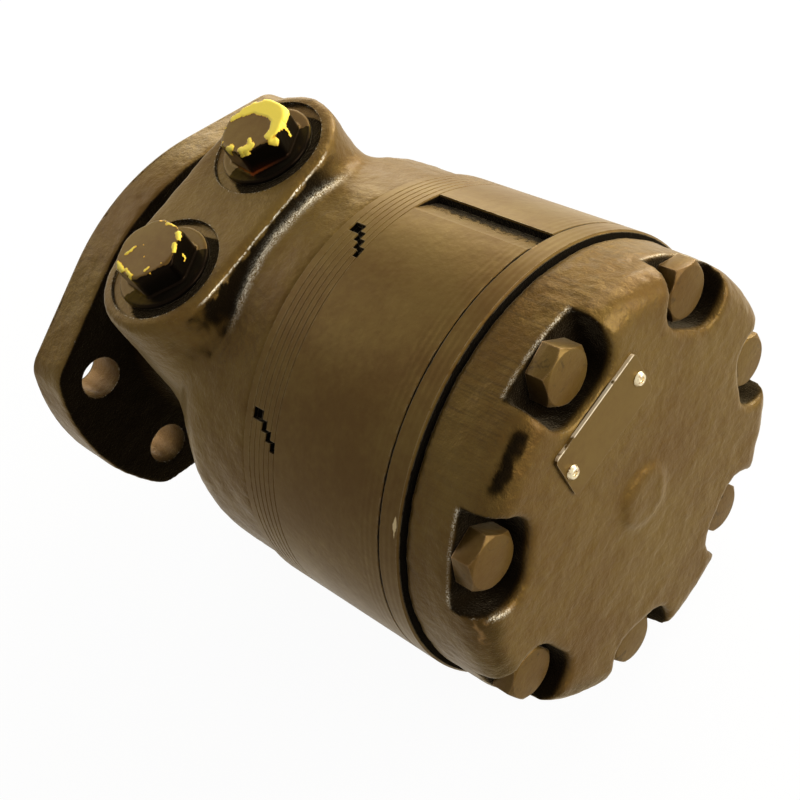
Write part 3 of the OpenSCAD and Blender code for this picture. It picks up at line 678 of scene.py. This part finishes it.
def remesh(obj, size):
    modifier = obj.modifiers.new("remesh", "REMESH")
    modifier.mode = "VOXEL"
    modifier.voxel_size = size * MM
    modifier.use_smooth_shade = True
    return settle(obj)


def vectors_of(items, attribute):
    flat = np.zeros(len(items) * 3, np.float32)
    items.foreach_get(attribute, flat)
    return flat.reshape(-1, 3).astype(float)


def points_of(mesh):
    return vectors_of(mesh.vertices, "co")


def normals_of(mesh):
    return vectors_of(mesh.vertex_normals, "vector")


def set_points(mesh, points):
    mesh.vertices.foreach_set("co", points.astype(np.float32).ravel())
    mesh.update()


def in_mm(points):
    """The x, depth and z of points, in millimetres."""
    return points[:, 0] / MM, -points[:, 1] / MM, points[:, 2] / MM


def soften(mesh, rounds, convex, concave):
    """Rounds a mesh's edges. convex and concave are how far edges and inner corners give way, 0 to 1."""
    points = points_of(mesh)
    pairs = np.zeros(len(mesh.edges) * 2, np.int32)
    mesh.edges.foreach_get("vertices", pairs)
    a, b = pairs.reshape(-1, 2).T
    total = len(points)
    count = np.bincount(a, minlength=total) + np.bincount(b, minlength=total)
    for turn in range(rounds):
        sums = [np.bincount(a, points[b, k], total) + np.bincount(b, points[a, k], total)
                for k in range(3)]
        pull = np.stack(sums, 1) / count[:, None] - points
        if turn % 4 == 0:
            set_points(mesh, points)
            normals = normals_of(mesh)
        outward = (pull * normals).sum(1)
        weight = np.where(outward > 0, concave, convex)
        points = points + pull * weight[:, None] * 0.6
    set_points(mesh, points)
    return points


def value_noise(points, size, seed):
    """Smooth lumps about as large as size, in metres, between -1 and 1."""
    grid = np.random.default_rng(seed).uniform(-1, 1, (64, 64, 64))
    q = points / size + 1000.0
    low = np.floor(q).astype(int)
    t = q - low
    t = t * t * (3 - 2 * t)
    total = np.zeros(len(points))
    for corner in np.ndindex(2, 2, 2):
        share = np.where(corner, t, 1 - t).prod(1)
        i, j, k = ((low + corner) % 64).T
        total += share * grid[i, j, k]
    return total


def set_values(mesh, **values):
    """Gives the mesh named values at its points, from 0 to 1, for its material to read."""
    for name, value in values.items():
        attribute = mesh.attributes.new(name, "FLOAT", "POINT")
        attribute.data.foreach_set("value", np.clip(value, 0, 1).astype(np.float32))


def smooth_step(value, low, high):
    t = np.clip((value - low) / (high - low), 0, 1)
    return t * t * (3 - 2 * t)


def between(value, start, full, fade, end):
    """1 from full to fade, with smooth steps to 0 at start and end."""
    return smooth_step(value, start, full) * (1 - smooth_step(value, fade, end))


def hump(value, middle, width, power=2):
    """1 at the middle, falling away on both sides."""
    return np.exp(-((value - middle) / width) ** power)


def cover_marks(points, normals):
    """Three values for the cover: painted shade and dark reflections, painted glints on pocket edges, and
    rust at a corner.
    """
    x, depth, z = in_mm(points)
    radius = np.hypot(x, z)
    # How far out each pocket's lower lip begins to carry a painted glint. Five carry none
    lip_starts = (56, 99, 99, 99, 99, 99, 47)
    within = np.full(len(points), -99.0)
    low_lip = np.zeros(len(points))
    for angle, lip_start in zip(BOLT_ANGLES, lip_starts):
        out = x * math.sin(angle) + z * math.cos(angle)
        across = x * math.cos(angle) - z * math.sin(angle)
        half = 11.9 + (out - 44.2) * 0.13
        pocket = np.minimum(half - np.abs(across), out - 43.9)
        within = np.maximum(within, pocket)
        rim = hump(pocket, -0.5, 0.5) * smooth_step(-across, 6, 9)
        low_lip = np.maximum(low_lip, rim * smooth_step(out, lip_start, lip_start + 4))
    low_lip *= smooth_step(depth, 180.4, 181.6)
    # Painted shade in the bolt pockets, deeper inside them
    shade = smooth_step(within, -0.9, 0.2) * smooth_step(182.7 - depth, 0.5, 3.0)
    shade *= smooth_step(depth, 171.9, 172.6)
    # A painted glint along each pocket's outer edge
    lip = smooth_step(radius, 60.3, 61.0) * smooth_step(within, 0.0, 0.8)
    lip *= smooth_step(depth, 171.2, 172.1)
    ragged = value_noise(points, 6 * MM, 31) + 0.6 * value_noise(points, 2.4 * MM, 32)
    # A ragged band of painted dark reflection on the rounded edge, on the side towards -x
    turn = 0.5 * hump(radius + 1.6 * ragged, 57.5, 3.2) * smooth_step(depth, 174.5, 178)
    turn *= smooth_step(-x, 22, 44)
    lean = (normals[:, 0] * x + normals[:, 2] * z) / np.maximum(radius, 1) + normals[:, 1]
    round_axis = -np.degrees(np.arctan2(x, z))
    uneven = 0.16 * value_noise(points, 3 * MM, 33) + 0.08 * value_noise(points, 1.2 * MM, 34)
    corner = smooth_step(radius, 55, 57) * smooth_step(depth, 176, 178)
    # A painted dark reflection along the rounded edge between two pockets
    band = corner * hump(lean + uneven, 0.12, 0.34, 4) * between(round_axis, 15.5, 18.5, 31, 35)
    rust = corner * smooth_step(0.18 - np.abs(lean + 0.05 + 2.4 * uneven), 0.0, 0.10)
    rust *= between(round_axis, 65, 67, 71, 74)
    shade = np.maximum.reduce([shade * (1 - lip), turn, band])
    return shade, np.maximum(lip, 0.7 * low_lip), 0.45 * rust


def mark(mesh, marks):
    """Gives a casting's mesh the three values that the cast paint reads."""
    shade, glint, worn = marks(points_of(mesh), normals_of(mesh))
    set_values(mesh, shade=shade, glint=glint, worn=worn)


def make_cover():
    """The end cover, with its bolt holes closed while its edges are softened."""
    cover = mesh_copy("end_cover_casting", "end_cover")
    combine(cover, [rod(x, z, 5.4, COVER_START - 0.1, BOLT_SEAT - 0.2) for x, z in BOLT_PLACES], "UNION")
    combine(cover, [core(46, COVER_START - 0.1, 163)], "UNION")
    remesh(cover, 0.75)
    points = soften(cover.data, 14, 0.55, 0.8)
    lumps = 0.17 * MM * value_noise(points, 4.2 * MM, 3) + 0.10 * MM * value_noise(points, 1.7 * MM, 4)
    set_points(cover.data, points + normals_of(cover.data) * lumps[:, None])
    combine(cover, [slab(150, COVER_START), core(34, 150, 159.7)], "DIFFERENCE")
    combine(cover, [rod(x, z, 5.1, 150, 190) for x, z in BOLT_PLACES], "DIFFERENCE")
    mark(cover.data, cover_marks)
    return cover


def housing_marks(points, normals):
    """Three values for the housing: painted shade and shadows in its hollows, a painted glint on the boss's
    fillet, and painted light on the walls of the flange holes. Angles about the ports are in degrees."""
    x, depth, z = in_mm(points)
    side = np.where(x < 0, -PORT_X, PORT_X)
    spot = np.hypot(x - side, depth - PORT_DEPTH)
    round_port = np.degrees(np.arctan2(PORT_DEPTH - depth, x - side))

    def towards(angle, width):
        return hump((round_port - angle + 180) % 360 - 180, 0, width)

    # Painted shadows in the spotfaces round the ports: crescents at their edge and on their floor, and a
    # patch over the floor on its side towards the cover
    level = between(z, 63.9, 64.4, 65.25, 65.6) * (1 - smooth_step(spot, 16.9, 17.3))
    wall = level * smooth_step(spot, 16.2, 16.6)
    wall *= 0.3 + 0.7 * np.maximum(towards(138, 24), towards(5, 26))
    far = level * smooth_step(spot, 14.9, 15.6) * towards(22, 26)
    reach = 13.4 + 3.9 * smooth_step(np.cos(np.radians(round_port + 100)), -0.1, 0.55)
    reach += 0.4 * value_noise(points, 2.2 * MM, 21)
    near = level * smooth_step(reach - spot, 0.0, 0.5)
    beside = np.clip(np.abs(x) - PORT_X, 0, None)
    out = depth - PORT_DEPTH - np.sqrt(np.clip(21.2 ** 2 - beside ** 2, 0, None))
    out += 0.35 * value_noise(points, 1.6 * MM, 22)
    cover_side = (beside < 21) * smooth_step(z, 36, 50) * smooth_step(depth, 59, 61)
    spread = 1.1 + 2.6 * smooth_step(-x, 2, 30)
    # A band of painted shade at the foot of the boss on its cover side, wider towards -x
    foot = cover_side * between(out, -1.15, -0.7, spread - 0.1, spread + 1.2)
    mottled = 5 * value_noise(points, 3.5 * MM, 23) + 3 * value_noise(points, 1.5 * MM, 24)
    foot *= (1 - smooth_step(-x + mottled, 25, 38)) * (1 - smooth_step(x, 18, 34))
    # A painted glint along the fillet below the boss's rim
    fillet_glint = cover_side * hump(out - spread, 1.0, 1.0) * between(x, -30, -16, 16, 34)
    # Painted shade over the back of the flange
    back = smooth_step(-normals[:, 1], 0.55, 0.85) * between(depth, 12.6, 13.4, 15.5, 17.5)
    # Painted shade on the neck behind the flange, where it is low or close to the axis
    slim = smooth_step(47 - np.hypot(x, z), 0, 6)
    below = (1 - smooth_step(depth, 26, 40)) * smooth_step(z, 18, 4)
    neck = 0.9 * smooth_step(depth, 13.4, 15.0) * np.maximum(below, slim)
    # Painted light on the walls of the flange holes, where the painted shade gives way
    hole = np.hypot(np.abs(x) - FLANGE_HOLE_X, np.abs(z) - FLANGE_HOLE_Z)
    worn = smooth_step(hole, 7.2, 6.95) * smooth_step(14.2 - depth, 0.0, 0.3)
    shade = np.maximum.reduce([wall, far, near, back, neck, foot])
    return shade * (1 - worn), fillet_glint * 0.75, worn * 0.8


def make_housing():
    """The cast part of the housing, its machined front face and its machined rear band. The casting's holes
    are closed, and its front end is longer, while its edges are softened."""
    casting = mesh_copy("housing_casting", "housing")
    longer = combine(mesh_copy("flange_front", "housing"), [slab(6, 200)], "DIFFERENCE")
    longer.data.transform(Matrix.Translation((0, 4 * MM, 0)))
    fills = [longer, *(rod(x, z, 7.4, 0.4, 14.1) for x, z in FLANGE_HOLES)]
    fills += [core(31, -3, 47), core(35, 46, BAND_END)]
    fills += [rod(x, z, 5.4, 78, BAND_END) for x, z in BOLT_PLACES]
    fills.append(core(60.6, 98, BAND_END))
    for x in (-PORT_X, PORT_X):
        fills += [rod(x, 46, 5, 55, BAND_END), post(x, 17.2, 44, 65.4)]
    combine(casting, fills, "UNION")
    combine(casting, [slab(BAND_START, 120)], "DIFFERENCE")
    remesh(casting, 0.9)
    soften(casting.data, 10, 0.5, 0.9)
    points = soften(casting.data, 70, 0.02, 0.9)
    calm = 0.7 * smooth_step(points[:, 2] / MM, 65.0, 65.4)
    lumps = 0.18 * MM * value_noise(points, 5 * MM, 5) + 0.10 * MM * value_noise(points, 1.9 * MM, 6)
    set_points(casting.data, points + normals_of(casting.data) * ((1 - calm) * lumps)[:, None])
    cuts = [rod(x, z, 6.75, -2, 20) for x, z in FLANGE_HOLES]
    # Bores from the front: the seal pocket, its lip, the front bearing, the coupling cup, the rear bearing
    cuts += [core(25, -10, 8.8), core(18, 8, 13), core(26.7, 11.8, 44.9), core(30.1, 43.8, 110),
             core(33.6, 73.3, 110)]
    cuts += [rod(x, z, 4.8, 80.9, 110) for x, z in BOLT_PLACES]
    cuts += [slab(-20, FACE_END), slab(BAND_START, 120)]
    for x in (-PORT_X, PORT_X):
        # The spotface, the seal's seat, the port's bore and its gallery
        cuts.append(post(x, 16.87, 64.7, 70, 96, (16.5, 16.1, 15.6, 15.1, 14.6, 14.1, 13.6)))
        cuts += [post(x, 12.6, 62.5, 65), post(x, 10.3, 47.7, 63), rod(x, 46, 4.5, PORT_DEPTH, 110)]
    combine(casting, cuts, "DIFFERENCE")
    mark(casting.data, housing_marks)
    face = combine(mesh_copy("housing_face", "housing"), [slab(FACE_END, 200)], "DIFFERENCE")
    band = combine(mesh_copy("housing_band", "housing"), [slab(-20, BAND_START)], "DIFFERENCE")
    return casting, face, band


# Bolts and rivets

def geometry_tree(name, *sizes):
    """A Geometry Nodes tree with named sizes. Its own points say where the copies go."""
    inputs = {"Places": "Geometry", **dict.fromkeys(sizes, "Float"), "Finish": "Material"}
    return new_tree("GeometryNodeTree", name, inputs, {"Geometry": "Geometry"})


def primitive(tree, kind, place, sizes):
    """A cylinder, placed by its middle, or a cone, placed by its foot, along Z."""
    made = new_node(tree, kind)
    feed_all(made, sizes)
    moved = new_node(tree, "GeometryNodeTransform")
    feed_all(moved, {"Geometry": made.outputs["Mesh"], "Translation": vector_of(tree, 0.0, 0.0, place)})
    return moved.outputs[0]


def round_bar(tree, radius, length, middle, sides=48):
    sizes = {"Vertices": sides, "Radius": radius, "Depth": length}
    return primitive(tree, "GeometryNodeMeshCylinder", middle, sizes)


def cone_of(tree, low, high, start, height):
    sizes = {"Vertices": 64, "Radius Top": high, "Radius Bottom": low, "Depth": height}
    return primitive(tree, "GeometryNodeMeshCone", start, sizes)


def solids_of(tree, operation, first, second):
    made = new_node(tree, "GeometryNodeMeshBoolean", operation=operation)
    feed(made.inputs["Mesh 1" if operation == "DIFFERENCE" else "Mesh 2"], first)
    feed(made.inputs["Mesh 2"], second)
    return made.outputs["Mesh"]


def with_shank(tree, given, head, sides=48):
    """A head joined to its shank, which goes down from the head's seat."""
    length = given["Shank Length"]
    join = new_node(tree, "GeometryNodeJoinGeometry")
    feed(join.inputs[0], head)
    feed(join.inputs[0], round_bar(tree, given["Shank Diameter"] / 2.0, length, length / -2.0, sides))
    return join.outputs[0]


def copies_at_places(tree, given, result, shape):
    """Puts the shape at each point, turned by the point's own value, with its axis along the shaft."""
    facing = new_node(tree, "FunctionNodeEulerToRotation")
    facing.inputs[0].default_value = (math.radians(90), 0, 0)
    placed = new_node(tree, "GeometryNodeInstanceOnPoints")
    feed_all(placed, {"Points": given["Places"], "Instance": shape, "Rotation": facing.outputs[0]})
    turn = new_node(tree, "GeometryNodeInputNamedAttribute", data_type="FLOAT")
    turn.inputs["Name"].default_value = "turn"
    about = new_node(tree, "FunctionNodeEulerToRotation")
    feed(about.inputs[0], vector_of(tree, 0.0, 0.0, turn.outputs[0]))
    turned = new_node(tree, "GeometryNodeRotateInstances")
    feed_all(turned, {"Instances": placed.outputs[0], "Rotation": about.outputs[0], "Local Space": True})
    real = new_node(tree, "GeometryNodeRealizeInstances")
    feed(real.inputs[0], turned.outputs[0])
    finish = new_node(tree, "GeometryNodeSetMaterial")
    feed_all(finish, {"Geometry": real.outputs[0], "Material": given["Finish"]})
    feed(result.inputs[0], finish.outputs[0])
    return tree


def bolt_tree():
    """Hex heads with their corners cut by a cone, on round shanks."""
    tree, given, result = geometry_tree(
        "cover_bolt_heads", "Across Flats", "Head Height", "Chamfer", "Shank Diameter", "Shank Length")
    height = given["Head Height"]
    corner = given["Across Flats"] / math.sqrt(3)
    top = given["Across Flats"] / 2.0 - 0.25 * MM
    slope = (corner - top) / given["Chamfer"]
    past = 1.0 * MM
    low = top + slope * (height + past)
    cone = cone_of(tree, low, top - slope * past, -past, height + 2 * past)
    head = solids_of(tree, "INTERSECT", round_bar(tree, corner, height, height / 2.0, 6), cone)
    return copies_at_places(tree, given, result, with_shank(tree, given, head))


def rivet_tree():
    """Low round heads with a hole in the middle, on round shanks."""
    tree, given, result = geometry_tree(
        "plate_rivet_heads", "Head Diameter", "Head Height", "Hole Diameter", "Shank Diameter",
        "Shank Length")
    height = given["Head Height"]
    rim = given["Head Diameter"] / 2.0
    hole = round_bar(tree, given["Hole Diameter"] / 2.0, height, height, 32)
    head = solids_of(tree, "DIFFERENCE", cone_of(tree, rim, rim * 0.72, 0.0, height), hole)
    return copies_at_places(tree, given, result, with_shank(tree, given, head, 32))


def repeated(name, tree, places, turns, finish, sizes):
    """One mesh of all the copies that a tree makes. places are in millimetres, as x, depth and z."""
    mesh = bpy.data.meshes.new(name)
    mesh.from_pydata([(x * MM, -depth * MM, z * MM) for x, depth, z in places], [], [])
    turn = mesh.attributes.new("turn", "FLOAT", "POINT")
    turn.data.foreach_set("value", [math.radians(v) for v in turns])
    made = add_object(name, mesh)
    modifier = made.modifiers.new("copies", "NODES")
    modifier.node_group = tree
    values = {**{key: value * MM for key, value in sizes.items()}, "Finish": finish}
    for socket in tree.interface.items_tree:
        if socket.in_out == "INPUT" and socket.name in values:
            modifier[socket.identifier] = values[socket.name]
    return settle(made)


def break_edges(obj, width, segments):
    """Small rounds on the sharp edges."""
    modifier = obj.modifiers.new("edges", "BEVEL")
    modifier.width = width * MM
    modifier.segments = segments
    modifier.limit_method = "ANGLE"
    modifier.angle_limit = math.radians(28)
    modifier.harden_normals = False
    return settle(obj)


def smooth_by_angle(mesh, degrees):
    """Smooth shading with sharp edges kept, on a merged mesh."""
    work = bmesh.new()
    work.from_mesh(mesh)
    limit = math.radians(degrees)
    for face in work.faces:
        face.smooth = True
    for edge in work.edges:
        edge.smooth = len(edge.link_faces) == 2 and edge.calc_face_angle(0) < limit
    work.to_mesh(mesh)
    work.free()


def make_bolts():
    head_turns = (17, 9, 26, 4, 14, 28, 12)
    turns = [90 - turn - math.degrees(angle) for turn, angle in zip(head_turns, BOLT_ANGLES)]
    bolts = repeated("cover_bolt_set", bolt_tree(), [(x, BOLT_SEAT, z) for x, z in BOLT_PLACES], turns,
                     MATERIALS["bolt"], {"Across Flats": 14.29, "Head Height": 6.2, "Chamfer": 1.0,
                                         "Shank Diameter": 9.525, "Shank Length": 88.9})
    break_edges(bolts, 0.22, 2)
    smooth_by_angle(bolts.data, 24)
    return bolts


def make_rivets():
    places = [(x, PLATE_FACE, 35.4) for x in (-14.1, 14.1)]
    rivets = repeated("plate_rivet_set", rivet_tree(), places, [0, 0], MATERIALS["rivet"],
                      {"Head Diameter": 4.0, "Head Height": 1.1, "Hole Diameter": 1.5,
                       "Shank Diameter": 2.4, "Shank Length": 5.3})
    break_edges(rivets, 0.16, 3)
    smooth_by_angle(rivets.data, 45)
    return rivets


# Plugs

TOP = 74.0  # height of the plugs' tops
# Paint left on the plugs, in strokes: x and y from the plug's axis where each starts and ends, its radius,
# and its two heights where it isn't on the top
HEAVY_PAINT = [
    (0.1, 8.5, 3.4, 6.6, 1.2), (3.6, 6.6, 6.2, 3.4, 2.1), (6.3, 2.6, 6.7, -1.4, 2.7),
    (6.7, -1.6, 5.4, -5.4, 2.4), (5.2, -5.8, 2.2, -7.7, 1.9), (2.0, -8.0, -1.2, -8.3, 1.6),
    (8.4, 2.6, 8.4, -4.6, 1.5), (8.0, -6.2, 5.6, -7.9, 1.2, 73.6, 73.4),
    (-2.3, -9.9, -1.4, -10.3, 1.2, 73.3, 72.8), (3.9, -8.7, 4.0, -8.6, 0.8, 73.4, 71.4),
    (4.0, -8.6, 3.9, -8.6, 0.5, 71.4, 69.0), (10.0, 0.0, 9.6, -2.0, 1.3, 73.4, 71.4),
    (7.0, 6.5, 6.0, 7.2, 1.1, 73.4, 71.0), (-8.8, 1.0, -9.3, 2.0, 1.45, TOP, 72.7),
    (-8.2, -3.2, -6.0, -5.3, 1.35), (-9.2, -4.2, -8.0, -5.6, 0.7, 73.6, 73.3),
    (-5.4, -4.0, -4.2, -2.7, 0.62), (-3.5, 8.5, -3.5, 8.6, 0.45), (-7.9, 5.5, -7.9, 5.6, 0.4)]
LIGHT_PAINT = [
    (-4.2, 5.5, -1.3, 4.4, 0.42), (-7.0, 7.0, -7.6, 5.1, 0.35), (-7.9, 4.4, -8.5, 2.4, 0.95),
    (-8.7, 1.7, -7.9, 1.2, 0.55), (-8.5, 0.0, -8.9, -2.0, 0.65),
    (-9.4, -2.4, -9.5, -2.6, 0.35, 73.8, 73.4), (-5.9, -5.3, -4.8, -5.5, 0.42),
    (-5.9, -7.3, -5.8, -7.2, 0.35, 73.7, 73.5), (9.1, 4.3, 9.3, 1.9, 0.42), (8.9, 0.7, 9.2, -3.8, 0.45),
    (7.5, -5.6, 6.2, -6.9, 0.8), (4.4, -7.3, 2.4, -9.1, 0.75), (3.8, -8.7, 3.7, -8.7, 0.36, 71.0, 69.2),
    (3.6, -8.7, 2.4, -9.3, 0.3, 69.2, 69.3), (0.4, 2.3, 0.4, 2.4, 0.35), (-2.6, -1.1, -2.6, -1.0, 0.25),
    (-1.9, -8.4, -1.9, -8.3, 0.32)]


def reach_of(local, strokes):
    """Distance from each point to the nearest stroke, less its radius."""
    best = np.full(len(local), 99.0)
    for start_x, start_y, end_x, end_y, r, *heights in strokes:
        start_z, end_z = heights or (TOP, TOP)
        a = np.array((start_x, start_y, start_z))
        along = np.array((end_x, end_y, end_z)) - a
        t = np.clip(((local - a) @ along) / (along @ along), 0, 1)
        best = np.minimum(best, np.linalg.norm(local - a - t[:, None] * along, axis=1) - r)
    return best


def make_plug(name, node, x_place, strokes, amber_share):
    """A port plug with thick ragged paint on it, and its values for the plastic's material."""
    plug = mesh_copy(name, node)
    remesh(plug, 0.34)
    points = soften(plug.data, 3, 0.5, 0.5)
    normals = normals_of(plug.data)
    local = points / MM - np.array((x_place, -PORT_DEPTH, 0))
    x, y, height = local.T
    ragged = 0.34 * value_noise(points, 1.1 * MM, 11) + 0.22 * value_noise(points, 0.5 * MM, 12)
    paint = reach_of(local, strokes) + ragged
    flats = [math.radians(PLUG_TURN + 30 + 60 * k) for k in range(6)]
    across = np.max([x * math.cos(a) + y * math.sin(a) for a in flats], axis=0)
    on_top = np.minimum(9.1 - across + 0.8 * ragged, (height - 73.55) * 2.0)
    # Painted light: olive on the flange only on its side towards the light, black on the shaded side
    lit = np.cos(np.arctan2(y, x) - math.radians(61.5)) + 0.233
    lit_flange_sector = np.minimum(lit * 7 + 0.8 * ragged, (normals[:, 2] - 0.6) * 4) - 9 * (height > 67.3)
    over = np.maximum(on_top, lit_flange_sector)
    # A painted amber glow, as of light through the thin plastic, low on one corner
    corner = math.radians(PLUG_TURN + 180)
    from_corner = np.hypot(x - 10.9 * math.cos(corner), y - 10.9 * math.sin(corner))
    glow = hump(from_corner, 0, 5.5) * hump(height, 67.0, 1.4) * (across > 9.0) * (across < 9.9)
    line = hump(from_corner, 0, 0.6) * smooth_step(height, 72.5, 67.5)
    thick = 0.22 * smooth_step(-paint, -0.1, 0.5) + 0.05 * smooth_step(on_top, -0.1, 0.3)
    set_points(plug.data, points + normals * (thick * MM)[:, None])
    set_values(plug.data, yellow=0.5 - paint / 1.4, overspray=0.5 + over / 1.4,
               amber=amber_share * np.maximum(glow, 0.7 * line))
    return plug


# The scene

def lit_and_seen(tree, lit, seen, share):
    """One shader for the rays that light the object, and another, by its share, for those that see the
    white background: the camera's, and those that gloss and glass send out."""
    path = {output.name: Signal(output) for output in new_node(tree, "ShaderNodeLightPath").outputs}
    both = math_of("ADD", path["Is Camera Ray"], path["Is Glossy Ray"], clamp=True)
    every = math_of("ADD", both, path["Is Transmission Ray"], clamp=True)
    pick = new_node(tree, "ShaderNodeMixShader")
    feed_all(pick, {0: every * share, 1: lit.outputs[0], 2: seen.outputs[0]})
    return pick.outputs[0]


def set_world():
    world = bpy.data.worlds.new("studio")
    bpy.context.scene.world = world
    world.use_nodes = True
    tree = world.node_tree
    tree.nodes.clear()
    soft = new_node(tree, "ShaderNodeBackground")
    feed_all(soft, {"Color": (1, 0.96, 0.88), "Strength": 0.135})
    white = new_node(tree, "ShaderNodeBackground")
    feed_all(white, {"Color": (1, 1, 1), "Strength": 1.0})
    output = new_node(tree, "ShaderNodeOutputWorld")
    feed(output.inputs[0], lit_and_seen(tree, soft, white, 1.0))


def make_floor():
    mesh = bpy.data.meshes.new("floor")
    level = cad_box[0][2]
    reach = 4
    corners = [(-reach, -reach), (reach, -reach), (reach, reach), (-reach, reach)]
    mesh.from_pydata([(x, y, level) for x, y in corners], [], [(0, 1, 2, 3)])
    material, surface = new_material("pale_floor")
    tree = material.node_tree
    feed_all(surface, {"Base Color": (0.8, 0.79, 0.77), "Roughness": 0.9})
    glow = new_node(tree, "ShaderNodeEmission")
    feed(glow.inputs["Strength"], 1.03)
    output = next(n for n in tree.nodes if n.type == "OUTPUT_MATERIAL")
    feed(output.inputs[0], lit_and_seen(tree, surface, glow, 0.93))
    mesh.materials.append(material)
    add_object("floor", mesh)


NODE_FINISHES = {
    "shaft": ["output_shaft", "shaft_key"],
    "rubber": ["dust_seal", "shaft_seal", "manifold_seal", "stator_seal_front", "stator_seal_rear",
               "cover_seal", "plug_seal_left", "plug_seal_right"],
    "bearing": ["seal_backup_washer", "thrust_bearing", "front_bearing", "rear_bearing", "thrust_ball"],
    "gear": ["drive_link", "rotor", *(f"roller_{k}" for k in range(1, 8))],
    "plate": [f"manifold_plate_{k}" for k in range(1, 6)],
    "stator": ["stator_ring"],
    "balance": ["balance_plate"],
    "bolt": ["cover_bolts"],
    "nameplate": ["nameplate"],
    "rivet": ["plate_rivets"],
    "plug": ["port_plug_left", "port_plug_right"],
}


def finish_mesh(mesh, key):
    mesh.materials.clear()
    mesh.materials.append(MATERIALS[key])


def dress(obj, key, body, slot, *nodes):
    """Gives a piece its finish and its body, and hides the CAD nodes that it stands for. slot is not used.
    """
    finish_mesh(obj.data, key)
    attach(obj, body)
    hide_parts(*nodes)


def main():
    bpy.context.scene.view_settings.view_transform = "Standard"
    set_camera()
    set_lights()
    set_world()
    make_floor()
    for key, names in NODE_FINISHES.items():
        for name in names:
            finish_mesh(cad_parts[name].data, key)

    cover = make_cover()
    dress(cover, "cast", "motor_body", "painted_casting", "end_cover")
    casting, face, band = make_housing()
    dress(casting, "cast", "motor_body", "painted_casting", "housing")
    for piece, finish in ((face, "face"), (band, "band")):
        smooth_by_angle(piece.data, 30)
        dress(piece, finish, "motor_body", "painted_casting", "housing")
    dress(make_bolts(), "bolt", "motor_body", "painted_parts", "cover_bolts")
    dress(make_rivets(), "rivet", "motor_body", "rivet_brass", "plate_rivets")
    left = make_plug("painted_plug_left", "port_plug_left", -PORT_X, LIGHT_PAINT, 0.0)
    right = make_plug("painted_plug_right", "port_plug_right", PORT_X, HEAVY_PAINT, 1.0)
    dress(left, "plug", "left_plug", "plug_plastic", "port_plug_left")
    dress(right, "plug", "right_plug", "plug_plastic", "port_plug_right")
    for piece in (cover, casting, left, right):
        smooth_by_angle(piece.data, 50)


main()
